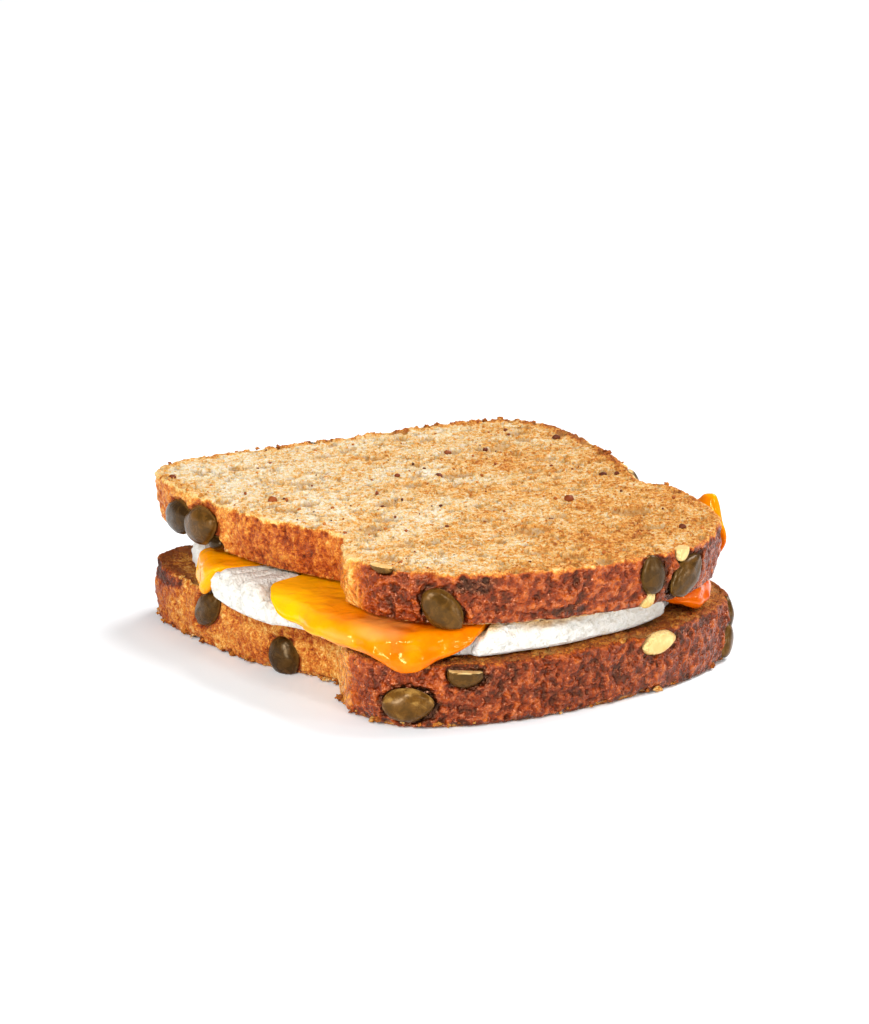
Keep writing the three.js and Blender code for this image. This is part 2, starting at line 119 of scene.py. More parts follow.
# Seeds on the sides that the photograph doesn't show.
SPREAD = dict(start=14, stop=128, size=(10.6, 7, 4), proud=1.5, scale=(0.8, 1.05),
              rise=(0.38, 0.66), turn=(-60, 60), tones=(0.5, 1.0, 0.8, 1.2))
UPPER_SPREAD = dict(count=6, draw=5)
LOWER_SPREAD = dict(count=7, draw=11)

# Marks on the upper face, as seen in the photograph: x, y, size. Pits first, then dark grains.
FACE_PITS = [
    (28, 34, 3.0), (8.5, 17.5, 3.4), (-24, -7.6, 2.6), (-18.5, 3, 2.2), (-0.4, -29.4, 3.4),
    (27, -27.5, 3.8), (-4.9, -17.5, 2.4), (40, 2, 2.6), (10, -22.6, 2.4), (-30, -26, 2.2),
    (18, 36, 2.4), (-33, 33, 2.0), (24, -40, 2.6), (-8, -44, 2.2), (34, 20, 2.4),
]
FACE_GRAINS = [
    (27.8, 36.4, 1.1), (4.6, 19, 1.7), (-25.2, 47.6, 1.0), (-23, -8.4, 1.5), (-18.5, 4, 1.1),
    (-4.9, -17.9, 1.4), (19.5, -13.8, 1.6), (9.3, -22.3, 1.3), (10.8, -23.4, 1.0),
    (-1.2, -40, 1.1), (-24.6, -27.2, 0.9), (40.2, 3.4, 1.3), (28.7, -44.5, 1.2),
    (-39.3, 17.5, 1.5), (-51.0, 46, 1.3), (-4.6, 22.4, 0.9), (18.1, 38, 1.3), (47, 34.3, 1.4),
]

# Pores of the cut face: size of a cell, share of the cells with a pore, depth.
PORES = ((6.2, 0.16, 1.8), (3.4, 0.27, 1.6), (1.9, 0.34, 1.2), (1.1, 0.22, 0.7))
BOWL_POWER = 0.42  # below 1 gives a steep side and a flat floor
FACE_SINK = 0.36  # keeps the highest strands within the slice
FACE_RIM = (1.5, 0.1)  # inset of the upper face's rim, and its depth below the full thickness
FOOT_RIM = 2.6  # inset of the underside's rim
RELIEF_SEED = 60
SEED_BED = dict(span=16, depth=0.55, collar=0.45, scorch_and_shade=0.24, cream_scorch_and_shade=0.08)
HEAVY_GRID = 60000  # quads above which a face is made as two pieces

# ---- noise

PRIMES = (374761393, 668265263, 1440662683, 1274126177)
WORD = 0xFFFFFFFF
NOISE_GAIN = 1.9


def hashed(ix, iy, iz, seed):
    """A repeatable 32-bit number for each cell of a grid."""
    h = (ix * PRIMES[0] + iy * PRIMES[1] + iz * PRIMES[2] + seed * PRIMES[3]) & WORD
    h = ((h ^ (h >> 13)) * PRIMES[3]) & WORD
    return h ^ (h >> 16)


def thirds(h):
    """Three numbers from 0 to 1 out of one 32-bit number."""
    return [((h >> bits) & 1023) / 1023 for bits in (0, 10, 20)]


def noise(points, size, seed=0):
    """Smooth noise between about -1 and 1 that rises and falls over the size."""
    p = points / size
    base = np.floor(p).astype(np.int64)
    f = p - base
    fade = f * f * f * (f * (f * 6 - 15) + 10)
    total = np.zeros(len(p))
    for corner in itertools.product((0, 1), repeat=3):
        h = hashed(base[:, 0] + corner[0], base[:, 1] + corner[1], base[:, 2] + corner[2], seed)
        slope = thirds(h)
        away = f - corner
        weight = np.prod(np.where(corner, fade, 1 - fade), axis=1)
        total += weight * sum((2 * slope[k] - 1) * away[:, k] for k in range(3))
    return total * NOISE_GAIN


def layers(points, size, seed):
    """Three sizes of noise on top of each other, each half the size and height of the last."""
    return sum(0.5 ** k * noise(points, size / 2 ** k, seed + 17 * k) for k in range(3))


def cells(points, size, seed=0, flat=False):
    """Distance to the nearest scattered point, in cells, and that point's random number."""
    p = points / size
    base = np.floor(p).astype(np.int64)
    best = np.full(len(p), 9.0)
    pick = np.zeros(len(p))
    around = itertools.product((-1, 0, 1), (-1, 0, 1), (0,) if flat else (-1, 0, 1))
    for step in around:
        corner = base + step
        h = hashed(corner[:, 0], corner[:, 1], corner[:, 2], seed)
        u, v, w = thirds(h)
        spot = corner + np.stack([u, v, 0 * w if flat else w], 1)
        far = ((p - spot) ** 2).sum(1)
        near = far < best
        best = np.where(near, far, best)
        pick = np.where(near, ((h >> 7) & 1023) / 1023, pick)
    return np.sqrt(best), pick


def ease(x, low, high):
    """Rises smoothly from 0 at low to 1 at high."""
    t = np.clip((x - low) / (high - low), 0, 1)
    return t * t * (3 - 2 * t)


def mixed(a, b, share):
    """From a at share 0 to b at share 1."""
    return a + (b - a) * share


def bell(x, width, power=2):
    """1 at 0, falling to nearly nothing past the width."""
    return np.exp(-(x / width) ** power)


def off_by(degrees, at):
    """How far an angle lies past another, from -180 to 180."""
    return (degrees - at + 180) % 360 - 180


def on_floor(flat):
    """Points of the plane as points in space, at height 0."""
    return np.column_stack([flat, np.zeros(len(flat))])


def spun(points, angle):
    """Points turned about the upright axis."""
    x, y, z = points.T
    c, s = math.cos(angle), math.sin(angle)
    return np.stack([x * c - y * s, x * s + y * c, z], 1)


def seeded_draw(seed, scale=1664525, shift=1013904223, size=2 ** 32):
    """A repeatable stream of numbers from 0 to 1."""
    while True:
        seed = (seed * scale + shift) % size
        yield seed / size


# ---- outlines


def catmull_loop(points, per_span=48):
    """A closed centripetal curve through the points."""
    p = np.array(points, float)
    out = []
    t = np.linspace(0, 1, per_span, endpoint=False)[:, None]
    for i in range(len(p)):
        p0, p1, p2, p3 = (p[(i + k - 1) % len(p)] for k in range(4))
        spans = ((p0, p1), (p1, p2), (p2, p3))
        d0, d1, d2 = (max(np.linalg.norm(b - a) ** 0.5, 1e-4) for a, b in spans)
        m1 = ((p1 - p0) / d0 - (p2 - p0) / (d0 + d1) + (p2 - p1) / d1) * d1
        m2 = ((p2 - p1) / d1 - (p3 - p1) / (d1 + d2) + (p3 - p2) / d2) * d1
        out.append(p1 + m1 * t + (-3 * p1 + 3 * p2 - 2 * m1 - m2) * t ** 2
                   + (2 * p1 - 2 * p2 + m1 + m2) * t ** 3)
    return np.concatenate(out)


def slice_loop(spec):
    """The outline of a slice: crown, lobes, waists, hips and base corners."""
    def quarter(lobe):
        for k in (1, 2, 3):
            t = k * math.pi / 8
            out = math.sin(t) ** (2 / spec["crown_power"])
            forward = math.cos(t) ** (2 / spec["crown_power"])
            yield (spec["apex"][0] + (lobe[0] - spec["apex"][0]) * out,
                   lobe[1] + (spec["apex"][1] - lobe[1]) * forward)

    def corner(half):
        inward = -math.copysign(1, half["side"])
        for degrees in (0, 45, 90):
            turn = math.radians(degrees)
            yield (half["side"] + inward * half["corner"] * (1 - math.cos(turn)),
                   spec["back"] - half["corner"] * (1 - math.sin(turn)))

    right, left = spec["right"], spec["left"]
    names = ("lobe", "shoulder", "waist", "hip")
    return catmull_loop([
        spec["apex"], *quarter(right["lobe"]), *(right[n] for n in names), *corner(right),
        (0, spec["back"] + spec["back_bow"]),
        *list(corner(left))[::-1], *(left[n] for n in names[::-1]),
        *list(quarter(left["lobe"]))[::-1],
    ])


def egg_loop():
    """A rounded square with four radii."""
    arcs = []
    for k, corner in enumerate(("back_right", "back_left", "front_left", "front_right")):
        y, x = corner.split("_")
        inward = (1 if x == "left" else -1, 1 if y == "front" else -1)
        turn = np.radians(np.linspace(90 * k, 90 * (k + 1), 90))
        arc = np.stack([np.cos(turn), np.sin(turn)], 1) + inward
        arcs.append(arc * EGG[corner] + (EGG[x], EGG[y]))
    return np.concatenate(arcs)


class Outline:
    """A closed outline round the origin, as radius and outward normal by angle."""

    def __init__(self, loop):
        angle = np.arctan2(loop[:, 1], loop[:, 0]) % TAU
        order = np.argsort(angle)
        self.angle = angle[order]
        self.radius = np.hypot(loop[order, 0], loop[order, 1])

    def reach(self, angle):
        return np.interp(np.asarray(angle) % TAU, self.angle, self.radius, period=TAU)

    def point(self, angle):
        r = self.reach(angle)
        return np.stack([r * np.cos(angle), r * np.sin(angle)], -1)

    def normal(self, angle, step=0.008):
        along = self.point(angle + step) - self.point(angle - step)
        out = np.stack([along[..., 1], -along[..., 0]], -1)
        return out / np.linalg.norm(out, axis=-1, keepdims=True)


# ---- grids and meshes


def disc_grid(steps):
    """A square grid pressed into a disc: angle and radius share of each vertex, and the quads."""
    t = np.linspace(-1, 1, steps + 1)
    a, b = (g.ravel() for g in np.meshgrid(t, t, indexing="ij"))
    wide = np.abs(a) >= np.abs(b)
    radius = np.where(wide, a, b)
    with np.errstate(divide="ignore", invalid="ignore"):
        turn = np.where(wide, math.pi / 4 * b / a, math.pi / 2 - math.pi / 4 * a / b)
    turn = np.nan_to_num(turn)
    x, y = radius * np.cos(turn), radius * np.sin(turn)
    i, j = (g.ravel() for g in np.meshgrid(np.arange(steps), np.arange(steps), indexing="ij"))
    corner = i * (steps + 1) + j
    quads = np.stack([corner, corner + steps + 1, corner + steps + 2, corner + 1], 1)
    return np.arctan2(y, x), np.minimum(np.hypot(x, y), 1), quads


def ring_angles(steps):
    """The angles of the disc grid's border, from -45 degrees round."""
    share = np.linspace(-1, 1, steps + 1)[:-1]
    side = math.pi / 4 * share
    return np.concatenate([side + k * math.pi / 2 for k in range(4)])


def tube_quads(rows, columns):
    """Quads of rings that close round, with rows going up."""
    i, j = (g.ravel() for g in np.meshgrid(np.arange(rows - 1), np.arange(columns), indexing="ij"))
    after = (j + 1) % columns
    return np.stack([i * columns + j, i * columns + after,
                     (i + 1) * columns + after, (i + 1) * columns + j], 1)


def ball_angles(rows, columns, trim=0.0):
    """Angles from pole to pole, short of each by the trim, and angles round."""
    return (np.linspace(trim, math.pi - trim, rows)[:, None],
            np.linspace(0, TAU, columns, endpoint=False)[None, :])


def unit_ball(rows, columns, trim=0.0):
    u, v = ball_angles(rows, columns, trim)
    ball = np.stack([np.sin(u) * np.cos(v), np.sin(u) * np.sin(v), np.cos(u) * np.ones_like(v)], -1)
    return ball.reshape(-1, 3)


def add_object(name, data):
    thing = bpy.data.objects.new(name, data)
    bpy.context.scene.collection.objects.link(thing)
    return thing


def make_piece(name, points, faces, material, node, values):
    """A smooth Blender mesh from millimetre points, with a number per vertex for each value."""
    mesh = bpy.data.meshes.new(name)
    mesh.from_pydata((np.asarray(points) * MM + SHIFT * MM).tolist(), [], faces.tolist())
    mesh.polygons.foreach_set("use_smooth", np.ones(len(mesh.polygons), bool))
    for key, numbers in values.items():
        layer = mesh.attributes.new(key, "FLOAT", "POINT")
        layer.data.foreach_set("value", np.asarray(numbers, np.float32))
    mesh.materials.append(material)
    piece = add_object(name, mesh)
    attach(piece, "root")
    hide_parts(node)


# ---- material helpers


class Tree:
    """Short calls for building a node material. Sizes of patterns are in millimetres."""

    def __init__(self, name):
        self.material = bpy.data.materials.new(name)
        self.material.use_nodes = True
        self.nodes = self.material.node_tree.nodes
        self.links = self.material.node_tree.links
        self.place = self.made("TexCoord").outputs["Object"]

    def feed(self, socket, value):
        """Links or sets a socket; a colour may be a #rrggbb code."""
        if isinstance(value, bpy.types.NodeSocket):
            self.links.new(value, socket)
        else:
            socket.default_value = srgb(value) if isinstance(value, str) else value

    def fill(self, node, sockets):
        for key, value in sockets.items():
            self.feed(node.inputs[key.replace("_", " ")], value)
        return node

    def made(self, kind, **sockets):
        return self.fill(self.nodes.new("ShaderNode" + kind), sockets)

    def finish(self, **sockets):
        self.fill(self.nodes["Principled BSDF"], sockets)
        return self.material

    def value(self, name):
        """A number that the mesh holds for each vertex."""
        node = self.made("Attribute")
        node.attribute_name = name
        return node.outputs["Fac"]

    def noise(self, size, detail=2.0, rough=0.5, warp=0.0):
        return self.made("TexNoise", Vector=self.place, Scale=1 / (size * MM), Detail=detail,
                         Roughness=rough, Distortion=warp).outputs["Fac"]

    def spots(self, size):
        """Distance to the nearest scattered point, and that point's random number."""
        node = self.made("TexVoronoi", Vector=self.place, Scale=1 / (size * MM))
        return node.outputs["Distance"], node.outputs["Color"]

    def math(self, kind, a, b):
        node = self.made("Math")
        node.operation = kind
        self.feed(node.inputs[0], a)
        self.feed(node.inputs[1], b)
        return node.outputs[0]

    def add(self, *terms):
        return functools.reduce(lambda a, b: self.math("ADD", a, b), terms)

    def times(self, *terms):
        return functools.reduce(lambda a, b: self.math("MULTIPLY", a, b), terms)

    def span(self, value, low, high, to_low=0.0, to_high=1.0):
        return self.made("MapRange", Value=value, From_Min=low, From_Max=high, To_Min=to_low,
                         To_Max=to_high).outputs["Result"]

    def swing(self, value, reach, spread=0.12):
        """Noise that lies within the spread of its middle, as minus to plus the reach."""
        return self.span(value, 0.5 - spread, 0.5 + spread, -reach, reach)

    def ramp(self, value, *stops):
        node = self.made("ValToRGB", Fac=value)
        elements = node.color_ramp.elements
        while len(elements) < len(stops):
            elements.new(0.5)
        for element, (position, colour) in zip(elements, stops):
            element.position = position
            element.color = srgb(colour)
        return node.outputs["Color"]

    def mix(self, share, a, b):
        node = self.made("Mix")
        node.data_type = "RGBA"
        for socket, value in ((0, share), (6, a), (7, b)):
            self.feed(node.inputs[socket], value)
        return node.outputs[2]

    def bump(self, height, depth, strength=1.0):
        return self.made("Bump", Distance=depth * MM, Strength=strength,
                         Height=height).outputs["Normal"]


def srgb(text):
    """A linear colour from a #rrggbb code."""
    parts = [int(text[k:k + 2], 16) / 255 for k in (1, 3, 5)]
    return tuple(c / 12.92 if c <= 0.04045 else ((c + 0.055) / 1.055) ** 2.4 for c in parts) + (1.0,)


# ---- bread material


def bread_material(name, shine_level, shine_tint):
    """Crumb and crust in one: the meshes say where each is, how toasted, and how deep the pores."""
    t = Tree(name)
    crust, toast, deep, bake_and_shade, gloss = map(t.value, ("crust", "toast", "deep", "bake_and_shade", "gloss"))
    fine = t.noise(0.4, 3, 0.6)
    grain = t.noise(0.95, 3, 0.62, warp=0.5)
    patch = t.noise(4.0, 3, 0.55, warp=0.3)
    blister = t.noise(1.5, 1.5, 0.45)
    prickle = t.noise(0.75, 0.5, 0.4)
    knob, knob_pick = t.spots(0.95)
    fleck, fleck_pick = t.spots(2.4)

    # The crumb, from cream over golden knobs to brown, with flecks; its dark gaps and tan pore floors
    # are painted shade.
    golden = t.times(t.span(knob, 0.12, 0.5, 1, 0), t.math("GREATER_THAN", knob_pick, 0.62),
                     t.span(toast, 0.15, 0.5, 0.14, 0.3))
    heat = t.add(toast, t.swing(grain, 0.2), t.swing(fine, 0.12), t.swing(patch, 0.1, 0.15), golden)
    crumb = t.ramp(heat, (0.0, "#e4ddcc"), (0.2, "#dccaa4"), (0.38, "#d9b072"),
                   (0.55, "#d2933e"), (0.74, "#bb6c22"), (1.0, "#843e10"))
    # dark gaps between the grains, where the bump is low: painted shade
    painted_gap_shade = t.times(t.span(fine, 0.36, 0.47, 0.6, 0), t.span(grain, 0.4, 0.5, 1, 0.15))
    crumb = t.mix(painted_gap_shade, crumb, "#a66c2a")
    # pore floors mixed towards tan: painted shade in the pores
    crumb = t.mix(t.times(deep, 0.66), crumb, "#b2834c")
    flecked = t.times(t.span(fleck, 0.06, 0.13, 1, 0), t.math("GREATER_THAN", fleck_pick, 0.72))
    crumb = t.mix(t.times(flecked, 0.8), crumb, "#9c5020")

    # The crust, from pale gold to nearly black, with painted shade in its hollows and a painted
    # highlight on its crests.
    dull = t.span(gloss, 0.3, 1.0, 1.0, 0.3)
    mark = t.add(t.swing(grain, 0.11), t.swing(fine, 0.12), t.swing(patch, 0.08, 0.17))
    # darker where the blister bump is low: painted shade in the hollows
    painted_hollow_shade = t.times(t.span(blister, 0.35, 0.65, 0.13, -0.09), gloss)
    # small knobs of the dry crust: bumps, with their colour lightened a little at each centre as a
    # painted highlight
    speck_bump_and_highlight = t.times(t.span(knob, 0.1, 0.45, 1, 0), dull)
    depth = t.add(bake_and_shade, t.times(mark, dull), painted_hollow_shade, t.times(speck_bump_and_highlight, -0.1))
    skin = t.ramp(depth, (0.0, "#eccb84"), (0.18, "#dc9c42"), (0.34, "#c27024"),
                  (0.5, "#a0450e"), (0.66, "#722405"), (0.82, "#3c1002"), (1.0, "#140501"))
    # pinkish paler spots on the glossy crests: a painted highlight standing in for glints
    painted_crest_glint = t.times(t.span(blister, 0.48, 0.66), t.span(fine, 0.45, 0.62), gloss, 0.4)
    skin = t.mix(painted_crest_glint, skin, "#c8825a")

    # Porous relief where it is dry, blistered leather where it is glossy.
    shiny = t.times(gloss, crust)
    porous = t.add(t.times(grain, 0.62), t.times(fine, 0.38))
    leather = t.add(blister, t.times(prickle, 0.4))
    height = t.add(t.times(porous, t.span(shiny, 0.3, 0.9, 1, 0)),
                   t.times(leather, t.span(shiny, 0.2, 0.9)),
                   t.times(speck_bump_and_highlight, t.span(crust, 0, 1, 0.05, 0.14)))
    dry = t.times(t.span(blister, 0.38, 0.52, 0.3, 0), gloss)
    return t.finish(
        Base_Color=t.mix(crust, crumb, skin),
        Roughness=t.add(t.swing(fine, 0.05, 0.2), dry, t.span(gloss, 0, 1, 0.72, 0.14)),
        Subsurface_Weight=t.span(crust, 0, 1, 0.2, 0.02),
        Subsurface_Radius=(1.0, 0.5, 0.2),
        Subsurface_Scale=0.6 * MM,
        Specular_IOR_Level=shine_level,
        Specular_Tint=shine_tint,
        Normal=t.bump(height, 1.25),
    )


def seed_material():
    """Roasted pumpkin seed: olive brown and satin, with a paler edge; cut faces are cream."""
    t = Tree("pumpkin_seed")
    mottle = t.noise(2.2, 3, 0.55, warp=0.5)
    streak = t.noise(0.5, 3, 0.6)
    # the tone holds each seed's own tone and its painted light on the upper side
    tone_and_top_light = t.add(t.value("tone"), t.span(mottle, 0.34, 0.66, -0.26, 0.2))
    colour = t.ramp(t.times(tone_and_top_light, 0.5), (0.0, "#1c1005"), (0.2, "#2e1c07"), (0.4, "#442b09"),
                    (0.6, "#623f12"), (0.82, "#c0954c"), (1.0, "#e6c784"))
    colour = t.mix(t.span(streak, 0.45, 0.7, 0, 0.5), colour, "#33210b")
    colour = t.mix(t.times(t.value("edge"), 0.5), colour, "#a07c40")
    inside = t.ramp(mottle, (0.3, "#e4c586"), (0.7, "#c8924a"))
    return t.finish(
        Base_Color=t.mix(t.value("cut"), colour, inside),
        Roughness=t.span(mottle, 0.3, 0.7, 0.2, 0.34),
        Subsurface_Weight=0.06,
        Subsurface_Radius=(1.0, 0.6, 0.3),
        Subsurface_Scale=0.6 * MM,
        Specular_IOR_Level=0.3,
        Specular_Tint="#ffdcae",
        Normal=t.bump(t.add(mottle, t.times(streak, 0.3)), 0.12, 0.7),
    )


def egg_material():
    """Cooked egg white: moist, finely curdled, and tan along its upper edge, partly browned in the pan
    and partly painted shade under the bread.
    """
    t = Tree("egg_white")
    curd = t.noise(1.3, 4, 0.6, warp=0.5)
    fine = t.noise(0.55, 3, 0.6)
    mottled = t.add(t.times(curd, 0.6), t.times(fine, 0.4))
    white = t.ramp(mottled, (0.36, "#c8c2b4"), (0.48, "#dad7cf"), (0.6, "#e3e1dc"))
    brown = t.ramp(curd, (0.3, "#b98a55"), (0.7, "#e2c898"))
    return t.finish(
        Base_Color=t.mix(t.value("tan_and_shade"), white, brown),
        Roughness=t.span(fine, 0.3, 0.7, 0.28, 0.46),
        Subsurface_Weight=0.25,
        Subsurface_Radius=(1.0, 0.9, 0.8),
        Subsurface_Scale=0.8 * MM,
        Specular_IOR_Level=0.3,
        Normal=t.bump(t.add(curd, t.times(fine, 0.7)), 0.8),
    )


def cheese_material():
    """Melted cheese: smooth, glossy, a little see-through where it is thin."""
    t = Tree("melted_cheese")
    cloud = t.noise(6.0, 3, 0.5)
    fine = t.noise(1.4, 2, 0.5)
    ripple = t.noise(3.4, 1, 0.4, warp=0.6)
    warm = t.add(t.value("yellow"), t.swing(cloud, 0.12, 0.15))
    colour = t.ramp(warm, (0.0, "#b83e00"), (0.35, "#e67200"), (0.65, "#f89400"), (1.0, "#ffac02"))
    return t.finish(
        Base_Color=t.mix(t.value("milky"), colour, "#e8a05a"),
        Roughness=t.span(cloud, 0.3, 0.7, 0.1, 0.2),
        Subsurface_Weight=0.2,
        Subsurface_Radius=(1.0, 0.7, 0.15),
        Subsurface_Scale=1.0 * MM,
        Specular_IOR_Level=0.34,
        Specular_Tint="#ffd488",
        Normal=t.bump(t.add(t.times(fine, 0.3), ripple), 0.32, 0.8),
    )


# ---- seeds


def slice_seeds(spec, own, spread):
    """All seeds of a slice: those in the photograph and the ones spread round the rest."""
    rows = list(own)
    draw = seeded_draw(spread["draw"])
    count = spread["count"]
    for k in range(count):
        at = mixed(SPREAD["start"], SPREAD["stop"], (k + 0.5 + 0.5 * (next(draw) - 0.5)) / count)
        scale = mixed(*SPREAD["scale"], next(draw))
        height = spec["thickness"] * mixed(*SPREAD["rise"], next(draw))
        turn = mixed(*SPREAD["turn"], next(draw))
        size = [side * scale for side in SPREAD["size"]]
        tone = SPREAD["tones"][k % len(SPREAD["tones"])]
        rows.append((at, height, *size, turn, SPREAD["proud"] * scale, tone, 1))
    return [dict(zip(SEED_FIELDS, row)) for row in rows]


def seed_frame(spec, outline, seed):
    """Centre and axes of a seed: along the crust, up, and out of it."""
    angle = math.radians(seed["at"])
    nudge = math.radians(2)
    reach = outline.reach(angle) * (1 - spec["taper"] * (1 - seed["height"] / spec["thickness"]))
    along = outline.point(angle + nudge) - outline.point(angle - nudge)
    along = np.append(along / np.linalg.norm(along), 0)
    up = np.array([0, 0, 1.0])
    out = np.array([along[1], -along[0], 0])
    centre = np.array([reach * math.cos(angle), reach * math.sin(angle), seed["height"]])
    centre = centre + out * (seed["proud"] - seed["thick"] / 2)
    turn = math.radians(seed["turn"])
    long_axis = along * math.cos(turn) + up * math.sin(turn)
    wide_axis = up * math.cos(turn) - along * math.sin(turn)
    return centre, long_axis, wide_axis, out


SEED_RINGS = 24
SEED_ROUND = 36


def seed_points(spec, outline, seed, number):
    """A flat oval, blunt at one end and drawn to a soft point at the other, cut off by the knife."""
    centre, long_axis, wide_axis, out = seed_frame(spec, outline, seed)
    u, v = ball_angles(SEED_RINGS, SEED_ROUND)
    along = -np.cos(u) * np.ones_like(v)
    body = np.sin(u) ** 0.9 * (1 - 0.30 * np.clip(along, 0, 1) ** 1.5)
    across = np.sign(np.cos(v)) * np.abs(np.cos(v)) ** 0.88
    thick = np.sign(np.sin(v)) * np.abs(np.sin(v)) ** 0.95
    ridge = 1 + 0.05 * bell(np.sin(v), 0.16)
    local = np.stack([
        along * seed["length"] / 2,
        across * body * ridge * seed["width"] / 2,
        thick * body ** 0.8 * seed["thick"] / 2,
    ], -1).reshape(-1, 3)
    local += 0.14 * np.stack([noise(local + number * 31, 2.6, 3 + k) for k in range(3)], 1)
    if number % 3 == 0:
        local[:, 2] -= 0.18 * bell(local[:, 1], 0.5)
    axis, side = (2, "thick") if seed["cut"] > 0 else (1, "width")
    cut_at = math.inf if seed["cut"] == 1 else (2 * abs(seed["cut"]) - 1) * seed[side] / 2
    sliced = local[:, axis] > cut_at
    local[:, axis] = np.minimum(local[:, axis], cut_at + 0.05 * noise(local, 1.0, 4))
    points = centre + local @ np.stack([long_axis, wide_axis, out])
    top = spec["thickness"] - 0.25
    knifed = points[:, 2] > top
    points[:, 2] = np.clip(points[:, 2], 0.0, top + 0.06 * noise(points, 0.9, 6))
    edge = bell(np.sin(v), 0.2) * np.ones_like(u)
    # Tone rises across each seed towards its wide axis, which points up for most seeds: painted light
    # on the upper side.
    values = dict(
        tone=np.full(len(points), seed["tone"]) + 0.25 * local[:, 1] / seed["width"],
        edge=edge.ravel() * 0.8,
        cut=sliced | knifed,
    )
    return points, values


# ---- slices


def wall_profile(spec, spacing):
    """Inset and height from the underside, round the crust, to the rim of the face."""
    t = spec["thickness"]
    corners = np.array([
        (FOOT_RIM, 0.0), (1.3, 0.0), (0.35, 0.5), (0.0, 2.6), (-0.15, 5.6), (0.0, t - 3.2),
        (0.25, t - 0.9), (0.55, t - 0.35), (1.0, t - 0.15), (FACE_RIM[0], t - FACE_RIM[1]),
    ])
    length = np.append(0, np.cumsum(np.hypot(*np.diff(corners, axis=0).T)))
    even = np.linspace(0, length[-1], int(length[-1] / spacing))
    return np.stack([np.interp(even, length, corners[:, k]) for k in (0, 1)], 1)


def crumb_relief(flat, looks):
    """Height of the cut face, how deep in a pore each point lies, its strands and pore brims."""
    seed = looks["seed"] + RELIEF_SEED
    place = flat * (0.9, 1.1, 1)
    place = place + 0.45 * np.stack([noise(flat, 2.1, seed + k) for k in (1, 2, 3)], 1) * (1, 1, 0)
    edge = 0.12 * noise(flat, 0.9, seed + 12)
    sink = np.zeros(len(flat))
    brim = np.zeros(len(flat))
    for k, (size, share, depth) in enumerate(PORES):
        far, pick = cells(place, size, seed + 40 + k, flat=True)
        out = far / mixed(0.2, 0.48, pick / share) + edge
        bowl = np.clip(1 - out ** 2, 0, 1) * (pick < share)
        deepest = depth * mixed(0.6, 1, pick / share)
        sink = np.maximum(sink, deepest * bowl ** BOWL_POWER * looks["pore"])
        brim = np.maximum(brim, bell(out - 1.12, 0.2) * (pick < share))
    for x, y, size in looks["pits"]:
        out = np.hypot((place[:, 0] - 0.9 * x) / (1.2 * size), (place[:, 1] - 1.1 * y) / size) + edge
        sink = np.maximum(sink, 0.6 * size * np.clip(1 - out ** 2, 0, 1) ** BOWL_POWER)
        brim = np.maximum(brim, bell(out - 1.1, 0.15))
    strands = 1 - 2.2 * np.abs(noise(flat, 1.25, seed + 7))
    threads = 1 - 2.2 * np.abs(noise(flat, 0.72, seed + 8))
    lumps = noise(flat, 4.0, seed + 9)
    rough = 1 - 0.72 * np.clip(sink / 0.8, 0, 1)
    height = -sink + rough * (0.15 * strands + 0.2 * threads) + 0.08 * lumps + 0.08 * brim - FACE_SINK
    return height, np.clip(sink / 0.9, 0, 1), (0.6 * strands + 0.4 * threads) * rough, brim


